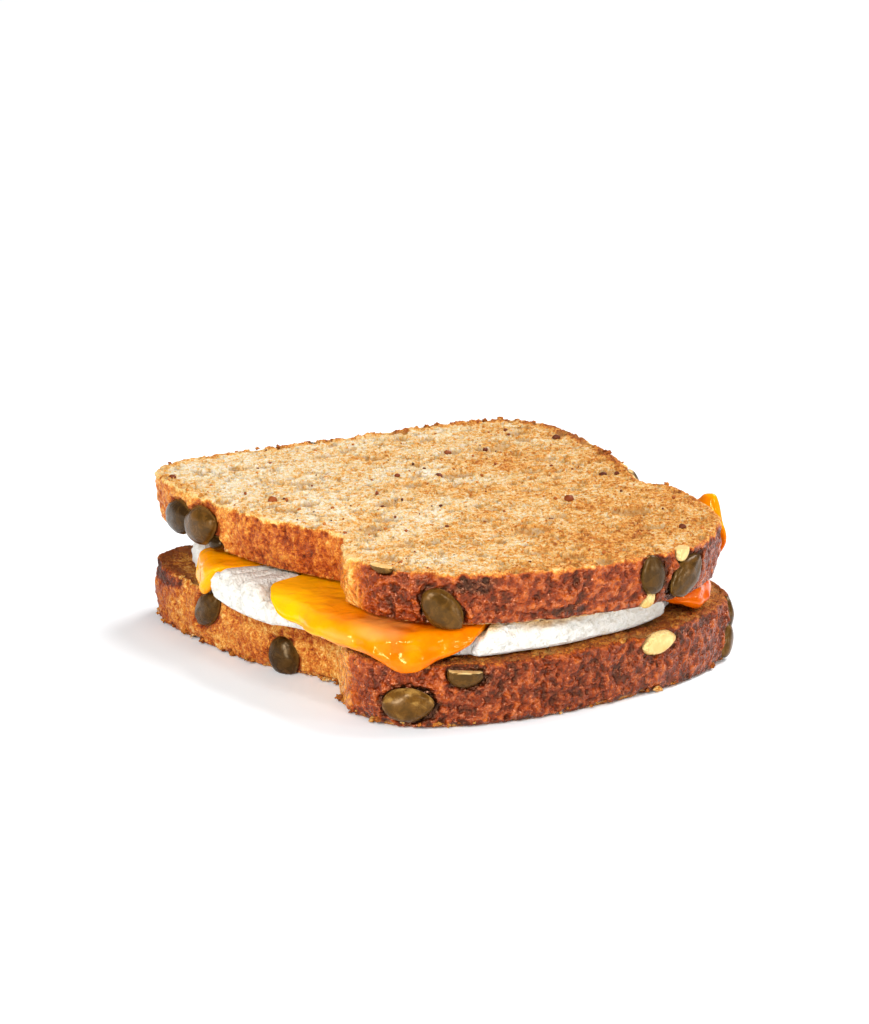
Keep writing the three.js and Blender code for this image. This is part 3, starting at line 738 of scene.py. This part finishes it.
def crust_state(spec, outline, theta, height, seeds, looks):
    """For points of the wall: how far to push them out, the bake with painted shade and light, and the
    gloss there.
    """
    degrees = np.degrees(theta) % 360
    place = np.column_stack([outline.point(theta), height])
    crown = ease(degrees, *looks["crown_left"]) * (1 - ease(degrees, *looks["crown_right"]))

    def rough(size, number, squash=1.0):
        return noise(place * (1, 1, squash), size, looks["seed"] + number)

    broad, mid, small, tiny = rough(4.6, 0), rough(2.1, 2), rough(1.0, 3), rough(0.6, 4)
    upright = rough(1.3, 5, 0.28)
    dimples, _ = cells(place, 5.2, looks["seed"] + 1)
    pits, pick = cells(place, 1.5, looks["seed"] + 6)
    pit = np.sqrt(np.clip(1 - (pits / 0.42) ** 2, 0, 1)) * (pick < 0.3)
    leather = (0.4 * broad + 0.42 * (dimples - 0.5) + 0.32 * mid + 0.2 * upright
               + 0.1 * small + 0.03 * tiny)
    bready = 0.34 * broad + 0.26 * mid + 0.2 * small + 0.14 * tiny - 0.42 * pit + 0.12 * upright
    push = mixed(bready, leather, crown)

    bake_and_shade = mixed(looks["side_bake"], looks["crown_bake"], crown)
    # Hollows, pits and wrinkle troughs of the wall are coloured darker and its crests lighter: painted
    # shade and painted light over the bake.
    bake_and_shade = bake_and_shade - mixed(0.18, 0.11, crown) * np.clip(push, -0.7, 0.7)
    bake_and_shade = bake_and_shade + 0.05 * rough(7.0, 11) - 0.06 * upright * crown + 0.1 * pit * (1 - crown)
    for at, wide, change in looks["patches"]:
        bake_and_shade = bake_and_shade + change * bell(off_by(degrees, at), wide)
    for at, level, wide, tall, change in looks["scorches"]:
        far = (off_by(degrees, at) / wide) ** 2 + ((height - level) / tall) ** 2
        spot = 1 - ease(far + 0.55 * mid + 0.25 * small, 0.5, 1.5)
        bake_and_shade = bake_and_shade + change * spot
        push = push - 0.5 * max(change, 0) * spot
    rim = ease(height + 0.3 * mid, spec["thickness"] - 1.5, spec["thickness"] - 0.4)
    foot = 1 - ease(height + 0.6 * mid, 0.2, 2.4)
    bake_and_shade = bake_and_shade - rim * looks["rim_pale"] + foot * looks["foot_dark"]

    # Each seed lies in a bed with a raised collar, and the crust is darker round its edge: partly
    # scorched crust, partly painted shade in the bed.
    for seed in seeds:
        centre, long_axis, wide_axis, _ = seed_frame(spec, outline, seed)
        near = np.abs(off_by(degrees, seed["at"])) < SEED_BED["span"]
        local = place[near] - centre
        away = np.hypot(local @ long_axis / (seed["length"] / 2),
                        local @ wide_axis / (seed["width"] / 2)) + 0.1 * mid[near]
        push[near] = mixed(push[near], -SEED_BED["depth"], 1 - ease(away, 0.98, 1.2))
        push[near] += SEED_BED["collar"] * bell(away - 1.38, 0.18)
        # darker ring round the seed: partly scorched crust, partly painted shade
        scorch_and_shade_ring = SEED_BED["scorch_and_shade" if seed["tone"] < 1.8 else "cream_scorch_and_shade"]
        bake_and_shade[near] += scorch_and_shade_ring * (1 - ease(away + 0.15 * small[near], 1.0, 1.35))
    gloss = mixed(looks["side_gloss"], 1.0, crown) * (1 - 0.8 * rim)
    return push, bake_and_shade, gloss


def to_world(spec, points):
    """From the slice's own heights to the sandwich: lifted and tilted."""
    y, h = points[:, 1], points[:, 2]
    c, s = math.cos(spec["tilt"]), math.sin(spec["tilt"])
    return np.stack([points[:, 0], y * c - h * s, spec["base"] + y * s + h * c], 1)


def make_slice(spec, seeds, looks, crumb, crust, seed_look):
    """A slice: its crust, its two cut faces and its seeds, each as a piece of its own."""
    name, t = spec["name"], spec["thickness"]
    outline = Outline(slice_loop(spec))

    def lay_out(angle, level, inset, share):
        """Moves base points to their places and works out their values."""
        degrees = np.degrees(angle) % 360
        at, wide, dent = looks["pressed"]
        pressed = dent * bell(off_by(degrees, at), wide)
        out = outline.normal(angle)
        shrink = 1 - spec["taper"] * (1 - level / t)
        base = outline.point(angle) * shrink[:, None] - out * (inset + pressed)[:, None]
        base = base * share[:, None]
        flat = on_floor(base)
        upper = level > t / 2
        on_face = ease(inset, 0.3, 1.0)
        push, bake_and_shade, gloss = crust_state(spec, outline, angle, level, seeds, looks)
        relief, deep, strands, brim = crumb_relief(flat, looks)

        # The face sinks a little in the middle, its dark rim is craggy, and the foot is chipped.
        chip = np.clip(noise(flat, 2.4, looks["seed"] + 90), 0, 1)
        chip = chip * looks["chips"] * (1 - ease(level, 0.0, 2.6))
        at, wide = looks["dark_rim"]
        dark_rim = bell(off_by(degrees, at), wide, 4)
        rim_at = ease(share - 0.015 * noise(flat, 3.0, 5), 0.95, 0.995)
        crags = dark_rim * rim_at * (0.35 * noise(flat, 2.2, 8) + 0.3 * noise(flat, 1.1, 9) + 0.25)
        lift = np.where(upper, relief + crags, np.maximum(-relief * 0.6, 0)) * on_face
        dish = spec["dish"] * (1 - share ** 4)
        points = np.column_stack([base + out * ((1 - on_face) * push)[:, None], level])
        points[:, 2] += lift - np.where(upper, dish, 0) + np.where(upper, 0, chip * (1 - on_face))
        points[:, 2] = np.maximum(points[:, 2], 0.0)

        toast = looks["toast"](flat, upper)
        warmth = np.clip(toast - 0.2, 0, 0.4)
        toast = toast + (0.08 + 0.25 * warmth) * strands - 0.08 * deep + (0.04 + 0.25 * warmth) * brim
        toast = toast + mixed(0.08, 0.42, dark_rim) * rim_at * (1 + 0.5 * noise(flat, 2.0, 6))
        ragged = 0.16 * noise(np.column_stack([base, level]), 1.6, 12)
        skin = 1 - ease(inset + ragged, 0.4, 0.85)
        return to_world(spec, points), dict(crust=skin, toast=toast, deep=deep * on_face, bake_and_shade=bake_and_shade,
                                            gloss=gloss * skin)

    theta = ring_angles(looks["steps"])
    profile = wall_profile(spec, looks["wall_spacing"])
    rows, columns = len(profile), len(theta)
    inset, level = (np.repeat(profile[:, k], columns) for k in (0, 1))
    points, values = lay_out(np.tile(theta, rows), level, inset, np.ones(rows * columns))
    make_piece(name + "_crust", points, tube_quads(rows, columns), crust, name, values)

    for part, coarser, height, rim in (
            ("face", looks["face_coarser"], t - FACE_RIM[1], FACE_RIM[0]),
            ("underside", looks["underside_coarser"], 0.0, FOOT_RIM)):
        angle, share, quads = disc_grid(looks["steps"] // coarser)
        full = np.ones(len(angle))
        points, values = lay_out(angle, full * height, full * rim, share)
        if part == "underside":
            quads = quads[:, ::-1]
        heavy = len(quads) > HEAVY_GRID
        for ending, group in zip(("_a", "_b") if heavy else ("",), np.array_split(quads, 1 + heavy)):
            used, kept = np.unique(group, return_inverse=True)
            make_piece(f"{name}_{part}{ending}", points[used], kept.reshape(group.shape), crumb,
                       name, {key: numbers[used] for key, numbers in values.items()})

    blocks = [seed_points(spec, outline, seed, k) for k, seed in enumerate(seeds)]
    points = np.concatenate([to_world(spec, block) for block, _ in blocks])
    values = {key: np.concatenate([v[key] for _, v in blocks]) for key in blocks[0][1]}
    one = tube_quads(SEED_RINGS, SEED_ROUND)[:, ::-1]
    quads = np.concatenate([one + k * SEED_RINGS * SEED_ROUND for k in range(len(seeds))])
    make_piece(name + "_seeds", points, quads, seed_look, name, values)


def upper_toast(flat, upper):
    """The face is palest at the back left and golden towards the right and the crown."""
    across = (0.866 * flat[:, 0] - 0.5 * flat[:, 1]) / 60
    cloud = layers(flat, 16, 21)
    warm = 0.22 + 0.2 * ease(across + 0.25 * cloud, -0.75, 0.75) + 0.07 * cloud
    return np.where(upper, warm + 0.05 * ease(-flat[:, 1], 10, 45), 0.3)


def lower_toast(flat, upper):
    """The inner face is browner than the underside."""
    return np.where(upper, 0.72, 0.55) + 0.14 * layers(flat, 14, 33)


# Each crown border is a range of compass angles. A dark rim is angle and width, a pressed place
# angle, width and depth, a patch angle, width and change of bake, a scorch angle, height, width,
# height and change. Crumbs are first and last angle, number, and whether at the upper edge.
UPPER_LOOKS = dict(
    steps=376, face_coarser=1, underside_coarser=4,
    seed=100, wall_spacing=0.3, crown_left=(196, 214), crown_right=(334, 350),
    crown_bake=0.63, side_bake=0.41, side_gloss=0.5, rim_pale=0.38, foot_dark=0.04,
    patches=[(212, 5.5, -0.45), (150, 14, -0.1), (182, 14, 0.08), (222, 10, 0.06)],
    scorches=[(242, 9.4, 4.2, 2.2, 0.24), (262, 2.2, 4, 1.4, 0.2), (186, 7, 4, 2.4, 0.1)],
    pits=FACE_PITS, pore=1.0, chips=0.6, toast=upper_toast, dark_rim=(60, 75),
    pressed=(325, 13, 1.6),
    crumbs=[(20, 150, 22, True), (-20, 20, 6, True), (0, 200, 30, False)],
)
LOWER_LOOKS = dict(
    steps=312, face_coarser=2, underside_coarser=3,
    seed=300, wall_spacing=0.32, crown_left=(196, 212), crown_right=(336, 350),
    crown_bake=0.67, side_bake=0.33, side_gloss=0.4, rim_pale=0.1, foot_dark=0.1,
    patches=[(210, 6, -0.4), (202, 6, -0.12), (136, 9, 0.2)],
    scorches=[(141, 12.4, 7, 2.2, 0.36), (190, 11, 8, 3, 0.1)],
    pits=(), pore=0.7, chips=1.8, toast=lower_toast, dark_rim=(90, 75), pressed=(200, 13, 1.0),
    crumbs=[(120, 235, 60, False), (235, 350, 20, False), (0, 360, 60, False), (0, 360, 20, True)],
)

# ---- egg white


def cheese_edge(outline, angle):
    """Reach, drop and overhang of the cheese's edge in each direction."""
    degrees = np.degrees(angle) % 360
    high = np.searchsorted(CHEESE_EDGE[:, 0], degrees, side="right").clip(1, len(CHEESE_EDGE) - 1)
    below, above = CHEESE_EDGE[high - 1].T, CHEESE_EDGE[high].T
    share = ease(degrees, below[0], above[0])
    past = mixed(below[1], above[1], share)
    return outline.reach(angle) + past, mixed(below[2], above[2], share), past


def egg_top(outline, x, y):
    """Height of the patty's top: pressed down under the cheese, higher where it is free."""
    pressed = EGG["under_cheese"] + UPPER["tilt"] * y
    free = UPPER["base"] + UPPER["tilt"] * y - GAP
    reach, _, _ = cheese_edge(outline, np.arctan2(y, x))
    beyond = np.hypot(x, y) - reach - 0.8
    return mixed(pressed, free, ease(beyond, 0, EGG["rim_slope"]))


# The patty's rows, from its underside out, up the rim and in over the top: place along the
# rows, inset, share of the height, how far below the top.
EGG_ROWS = np.array([
    (0, 9, 0, 0), (8, 0.7, 0, 0), (8.9, 0.15, 0.1, 0), (11, 0, 0.4, 0), (13, 0.2, 0.7, 0),
    (15, 0.9, 0.95, 0.25), (17, 2.4, 1, 0.05), (20.5, 6, 1, 0), (28, 16, 1, 0), (36, 40, 1, 0),
])
EGG_COLUMNS = 520
EGG_FOLDS = dict(at=174, half_span=16, spacing=1.35)


def make_egg(outline, look):
    """The patty: a rim wall with folds, and a top that slopes up to the bread."""
    base = EGG["base"]
    even = np.concatenate([np.linspace(0, 8, 8), np.linspace(8.2, 21, 62), np.linspace(21.6, 36, 16)])
    inset, share, sink = (np.repeat(np.interp(even, EGG_ROWS[:, 0], EGG_ROWS[:, k]), EGG_COLUMNS)
                          for k in (1, 2, 3))
    around = np.tile(np.linspace(0, TAU, EGG_COLUMNS, endpoint=False), len(even))
    degrees = np.degrees(around) % 360
    out = outline.normal(around)
    _, _, past = cheese_edge(outline, around)
    under = ease(past, 0.2, 1.6)
    flat = outline.point(around) - out * np.minimum(inset, 0.9 * outline.reach(around))[:, None]
    flat = flat - out * (1.7 * under * (inset < 8))[:, None]
    top = egg_top(outline, flat[:, 0], flat[:, 1]) - 0.35 * under
    z = mixed(base, top - sink, share)
    place = np.column_stack([flat, z])

    # Waves all round, and upright folds at the left.
    free = (1 - ease(inset, 3, 8)) * ease(z, base, base + 0.8)
    side = bell(degrees - EGG_FOLDS["at"], EGG_FOLDS["half_span"], 4)
    along = np.radians(degrees) * 50 / EGG_FOLDS["spacing"]
    fold = np.abs(np.sin(along + 0.8 * noise(place, 6, 71) + 0.25 * (z - base)))
    waves = 0.3 * noise(place * (1, 1, 0.6), 3.2, 72) + 0.25 * noise(place, 1.4, 73)
    push = free * (waves + 0.15 * noise(place, 0.8, 74) + side * (1.2 * fold - 0.6))
    push = push * (1 - 0.8 * under)
    pleat = side * ease(share, 0.6, 1) * (1 - ease(inset, 7, 11)) * (1 - fold) ** 2
    height = np.clip(z + 0.5 * free * push * (1 - under), base - 0.15, top + 0.15) - 1.1 * pleat
    points = np.column_stack([flat + out * push[:, None], height])

    # Tan along the upper edge at the front, fading to the right: partly browned egg, partly painted
    # shade under the bread.
    tan_and_shade = ease(share + 0.25 * noise(place, 3.5, 75), 0.62, 1.05) * ease(degrees, 238, 246)
    tan_and_shade = tan_and_shade * (1 - ease(degrees, 300, 320)) * mixed(1, 0.45, ease(degrees, 262, 285))
    tan_and_shade = np.maximum(tan_and_shade, 0.12 * ease(share, 0.6, 1))
    make_piece("egg_white_patty", points, tube_quads(len(even), EGG_COLUMNS), look,
               "egg_white", dict(tan_and_shade=tan_and_shade))


# ---- cheese


def smoothed(grid, passes, closed):
    """Averages points with their neighbours, round the rings if closed or else along them."""
    for _ in range(passes):
        if closed:
            grid = 0.5 * grid + 0.25 * (np.roll(grid, 1, 1) + np.roll(grid, -1, 1))
        else:
            inner = 0.5 * grid[1:-1] + 0.25 * (grid[2:] + grid[:-2])
            grid = np.concatenate([grid[:1], inner, grid[-1:]])
    return grid


CHEESE_COLUMNS = 660


def make_cheese(outline, look):
    """The sheet from under the bread, over the patty's rim and down, with its lip on the right."""
    theta = np.linspace(0, TAU, CHEESE_COLUMNS, endpoint=False)
    wave = on_floor(outline.point(theta))
    reach, drop, past = cheese_edge(outline, theta)
    over = ease(past, 0.0, 1.5)
    reach = reach + (0.4 * noise(wave, 5.0, 81) - 1.1) * over
    drop = drop * (1 + 0.16 * noise(wave, 4.0, 82))
    bend = CHEESE["bend"]
    start = reach - bend
    tilt = UPPER["tilt"] * np.sin(theta)
    level = EGG["under_cheese"] + PRESSED_GAP + CHEESE["sheet"] / 2

    # Stations from the middle out: reach, height, tip from level, share of the turn to hanging.
    stations = []
    for share in (0.001, 0.3, 0.6, *np.linspace(0.8, 1, 14)[:-1]):
        stations.append((start * share, level + tilt * start * share, 0 * over, 0 * over))
    for share in np.linspace(0, 1, 16):
        tip = share * over * 1.35
        r = start + over * bend * np.sin(tip) + (1 - over) * share * bend
        stations.append((r, level + tilt * start - over * bend * (1 - np.cos(tip)), tip, share * over))
    last_r, last_z, tip, _ = stations[-1]
    for share in np.linspace(0, 1, 18)[1:]:
        fall = over * (drop + 0.9) * share
        stations.append((last_r + 0.05 * fall, last_z - fall, tip, over))
    r, z, tip, turn = (np.array(column) for column in zip(*stations))

    # Half the thickness, with a bead along the hanging edge and a rounded end.
    count = len(stations)
    run = np.arange(count)[:, None] / (count - 1)
    ending = np.clip((run - 0.86) / 0.14, 0, 1)
    rounded = np.sqrt(np.clip(1 - ending ** 2, 0.02, 1))
    bead = 1 + 0.5 * bell(run - 0.88, 0.08) * over
    half = mixed(CHEESE["sheet"], CHEESE["hang"], turn) / 2 * rounded * bead

    def skin(side):
        out = r + side * half * np.sin(tip)
        return np.stack([out * np.cos(theta), out * np.sin(theta), z + side * half * np.cos(tip)], -1)

    grid = np.concatenate([skin(1), skin(-1)[::-1]])
    grid = smoothed(smoothed(grid, 7, True), 3, False)
    points = grid.reshape(-1, 3)
    rows = 2 * count
    around = np.tile(theta, rows)
    swell = 0.45 * noise(points, 5.0, 83) + 0.2 * noise(points, 2.4, 84)
    hang = np.concatenate([turn, turn[::-1]]).reshape(-1)
    points[:, 2] += swell * 0.5 * np.tile(over, rows) * (1 - hang)
    points[:, :2] += np.stack([np.cos(around), np.sin(around)], 1) * (swell * hang)[:, None]

    quads = tube_quads(rows, CHEESE_COLUMNS)[:, ::-1]
    lip, lip_quads = lip_points()
    quads = np.concatenate([quads, lip_quads + len(points)])
    points = np.concatenate([points, lip])
    make_piece("cheese_melted", points, quads, look, "cheese", cheese_values(points))


def lip_points():
    """The lip: a flat drop, narrower at the top, with soft folds on its outer side."""
    rows, columns = 40, 64
    ball = unit_ball(rows, columns, 0.02)
    ball[:, 1] *= 1 - LIP["narrowing"] * (1 + ball[:, 2])
    points = spun(ball * LIP["half"], LIP["turn"]) + LIP["at"]
    fold = np.sin(0.62 * points[:, 1] + 0.25 * points[:, 2]) * ease(points[:, 0], 49, 51.5)
    points[:, 0] += 0.4 * noise(points, 4.5, 91) - 0.25 * fold
    points[:, 1] += 0.9 * noise(points, 5.0, 92)
    points[:, 2] += 0.8 * noise(points, 4.5, 93) - 0.5 * fold
    return points, tube_quads(rows, columns)


# Milky places on the drape: compass angle, height, half width, half height, amount.
MILKY = ((222, 20.4, 5.5, 1.7, 0.5), (213, 17.6, 3.5, 1.5, 0.45), (204, 17.6, 5, 0.8, 0.25))


def cheese_values(points):
    """How yellow and how milky the cheese is: yellow at the left, orange to the right."""
    degrees = np.degrees(np.arctan2(points[:, 1], points[:, 0])) % 360
    yellow = mixed(1, 0.34, ease(degrees, 192, 228))
    yellow = np.where(degrees < 172, 0.78, yellow)
    yellow = np.where(degrees > 270, 0.12 + 0.5 * ease(points[:, 2], 22.5, 27), yellow)
    milky = np.zeros(len(points))
    for at, level, wide, tall, amount in MILKY:
        far = ((degrees - at) / wide) ** 2 + ((points[:, 2] - level) / tall) ** 2
        far = far + 0.5 * noise(points, 3.5, 95)
        milky = np.maximum(milky, amount * (1 - ease(far, -0.3, 1.7)))
    return dict(yellow=yellow, milky=milky * (degrees > 180))


# ---- small dark grains and crumbs

# Rows and columns of each ball, and its possible sizes with their chances.
GRAIN_GRID = (7, 11)
CRUMB_GRID = (7, 9)
GRAIN_COUNT = 170
GRAIN_SIZES = ([0.35, 0.45, 0.6, 0.85], [0.4, 0.3, 0.2, 0.1])
CRUMB_SIZES = ([0.35, 0.5, 0.75, 1.05], [0.35, 0.35, 0.22, 0.08])


def make_lumps(name, node, lumps, ball_grid, look, values):
    """Many small balls as one piece, with the same values all over each."""
    quads = tube_quads(*ball_grid)
    size = len(lumps[0])
    faces = np.concatenate([quads + k * size for k in range(len(lumps))])
    make_piece(name, np.concatenate(lumps), faces, look, node,
               {key: np.repeat(numbers, size) for key, numbers in values.items()})


def make_grains(look):
    """Dark flakes of grain lying in the upper face, the large ones where the photograph has them."""
    ball = unit_ball(*GRAIN_GRID)
    draw = np.random.default_rng(7)
    outline = Outline(slice_loop(UPPER))
    marks = list(FACE_GRAINS)
    while len(marks) < GRAIN_COUNT:
        angle = draw.uniform(0, TAU)
        share = math.sqrt(draw.uniform(0, 0.93))
        x, y = outline.point(angle) * share
        marks.append((x, y, draw.choice(GRAIN_SIZES[0], p=GRAIN_SIZES[1])))
    lumps, tone = [], []
    for k, (x, y, size) in enumerate(marks):
        turn = draw.uniform(0, TAU)
        lump = ball * (size * 0.75, size * 0.5, size * 0.55)
        lump = spun(lump * (1 + 0.3 * noise(ball * 2 + k * 9, 1.0, 5))[:, None], turn)
        relief = crumb_relief(np.array([[x, y, 0.0]]), UPPER_LOOKS)[0][0]
        share = math.hypot(x, y) / outline.reach(math.atan2(y, x))
        height = UPPER["thickness"] - FACE_RIM[1] - UPPER["dish"] * (1 - share ** 4) + relief
        lumps.append(to_world(UPPER, lump + (x, y, height + 0.25 * size)))
        tone.append(draw.uniform(0, 1 if size < 0.9 else 0.45))
    make_lumps("bread_upper_grains", "bread_upper", lumps, GRAIN_GRID, look,
               dict(tone=tone))


def grain_material():
    """Flakes of toasted grain, reddish brown to golden."""
    t = Tree("toasted_grain")
    colour = t.ramp(t.value("tone"), (0.0, "#3c1808"), (0.3, "#763410"), (0.65, "#a8581a"),
                    (1.0, "#cc8638"))
    speckle = t.noise(0.3, 2, 0.6)
    return t.finish(
        Base_Color=t.mix(t.span(speckle, 0.45, 0.7, 0, 0.5), colour, "#6a3418"),
        Roughness=t.span(speckle, 0.3, 0.7, 0.35, 0.6),
        Specular_IOR_Level=0.2,
        Normal=t.bump(speckle, 0.1, 0.6),
    )


def make_crumbs(spec, looks, bread):
    """Loose bits of toasted crumb that stick to the edges where the knife went."""
    ball = unit_ball(*CRUMB_GRID)
    draw = np.random.default_rng(looks["seed"])
    outline = Outline(slice_loop(spec))
    t = spec["thickness"]
    lumps, toast = [], []
    for start, stop, count, top in looks["crumbs"]:
        for _ in range(count):
            angle = math.radians(draw.uniform(start, stop))
            size = draw.choice(CRUMB_SIZES[0], p=CRUMB_SIZES[1])
            lump = ball * (size, size * draw.uniform(0.5, 1), size * draw.uniform(0.4, 0.8))
            lump = lump * (1 + 0.8 * noise(ball * 2 + len(lumps) * 9, 1.0, 5))[:, None]
            level = draw.uniform(-0.5, 0.0) + t - 0.2 if top else draw.uniform(0.5, 1.3)
            shrink = 1 - spec["taper"] * (1 - level / t)
            base = outline.point(angle) * shrink - outline.normal(angle) * draw.uniform(0.1, 0.9)
            lump = lump + (base[0], base[1], level)
            lump[:, 2] = np.maximum(lump[:, 2], 0.02)
            lumps.append(to_world(spec, lump))
            toast.append(draw.uniform(0.5, 1.0))
    none = np.zeros(len(lumps))
    make_lumps(spec["name"] + "_crumbs", spec["name"], lumps, CRUMB_GRID, bread,
               dict(crust=none, toast=toast, deep=none, bake_and_shade=none, gloss=none))


# ---- floor, light and camera

FLOOR_HALF = 8.0  # metres, as are all numbers of the light
SUN = dict(from_side=(0.62, 0.10, 0.80), strength=3.3, spread=36)
# Soft boxes round the front: place, width and height, power.
SOFT_BOXES = dict(
    left_high=((-0.60, -0.44, 0.52), (0.20, 0.20), 4.8),
    left_low=((-0.78, -0.34, 0.16), (0.13, 0.13), 3.6),
    front_high=((0.02, -0.74, 0.56), (0.16, 0.12), 1.5),
    front_low=((0.16, -0.90, 0.14), (0.13, 0.10), 1.4),
    right_high=((0.46, -0.66, 0.44), (0.14, 0.12), 1.0),
    right_low=((0.56, -0.70, 0.10), (0.12, 0.10), 1.0),
)
AIM = (0, 0, 0.02)
SURROUND = dict(seen=1.0, lighting=0.3)
CAMERA = dict(place=(-269.33, -453.62, 176.26), azimuth=-30, elevation=15.5, lens=85.0, sensor=36)


def make_floor():
    t = Tree("pale_floor")
    pale = t.ramp(t.noise(60, 2, 0.5), (0.0, "#f1f4f6"), (1.0, "#f5f8fa"))
    mesh = bpy.data.meshes.new("floor")
    corners = [(x * FLOOR_HALF, y * FLOOR_HALF, 0) for x, y in ((-1, -1), (1, -1), (1, 1), (-1, 1))]
    mesh.from_pydata(corners, [], [(0, 1, 2, 3)])
    mesh.materials.append(t.finish(Base_Color=pale, Roughness=0.9, Specular_IOR_Level=0.1))
    add_object("floor", mesh)


def turn_to(thing, direction):
    thing.rotation_mode = "QUATERNION"
    thing.rotation_quaternion = direction.to_track_quat("-Z", "Y")


def make_light():
    """A broad sun from the right, and small boxes round the front for shine."""
    sun = bpy.data.lights.new("key", "SUN")
    sun.energy = SUN["strength"]
    sun.angle = math.radians(SUN["spread"])
    turn_to(add_object("key", sun), -Vector(SUN["from_side"]))
    for name, (place, size, power) in SOFT_BOXES.items():
        light = bpy.data.lights.new(name, "AREA")
        light.shape = "RECTANGLE"
        light.size, light.size_y = size
        light.energy = power
        lamp = add_object(name, light)
        lamp.location = place
        turn_to(lamp, Vector(AIM) - Vector(place))


def make_surround():
    """White where the camera sees it, and dimmer as a light."""
    world = bpy.data.worlds.new("surround")
    bpy.context.scene.world = world
    world.use_nodes = True
    nodes, links = world.node_tree.nodes, world.node_tree.links
    seen = nodes["Background"]
    lit = nodes.new("ShaderNodeBackground")
    for background, strength in ((seen, SURROUND["seen"]), (lit, SURROUND["lighting"])):
        background.inputs["Color"].default_value = (1, 1, 1, 1)
        background.inputs["Strength"].default_value = strength
    path = nodes.new("ShaderNodeLightPath")
    pick = nodes.new("ShaderNodeMixShader")
    links.new(path.outputs["Is Camera Ray"], pick.inputs["Fac"])
    links.new(lit.outputs[0], pick.inputs[1])
    links.new(seen.outputs[0], pick.inputs[2])
    links.new(pick.outputs[0], nodes["World Output"].inputs["Surface"])
    bpy.context.scene.view_settings.view_transform = "Standard"


def make_camera():
    data = bpy.data.cameras.new("camera")
    data.lens = CAMERA["lens"]
    data.sensor_width = CAMERA["sensor"]
    data.clip_start, data.clip_end = 0.01, 50
    camera = add_object("camera", data)
    camera.location = (np.array(CAMERA["place"]) + SHIFT) * MM
    a, e = math.radians(CAMERA["azimuth"]), math.radians(CAMERA["elevation"])
    turn_to(camera, Vector((-math.sin(a) * math.cos(e), math.cos(a) * math.cos(e), -math.sin(e))))
    bpy.context.scene.camera = camera


# ---- the sandwich

crumb_look = bread_material("toasted_crumb", 0.25, "#fff0dc")
crust_look = bread_material("baked_crust", 0.66, "#ffb892")
seed_look = seed_material()
make_slice(LOWER, slice_seeds(LOWER, LOWER_SEEDS, LOWER_SPREAD), LOWER_LOOKS,
           crumb_look, crust_look, seed_look)
make_slice(UPPER, slice_seeds(UPPER, UPPER_SEEDS, UPPER_SPREAD), UPPER_LOOKS,
           crumb_look, crust_look, seed_look)
make_crumbs(LOWER, LOWER_LOOKS, crumb_look)
make_crumbs(UPPER, UPPER_LOOKS, crumb_look)
egg_outline = Outline(egg_loop())
make_egg(egg_outline, egg_material())
make_cheese(egg_outline, cheese_material())
make_grains(grain_material())
make_floor()
make_light()
make_surround()
make_camera()
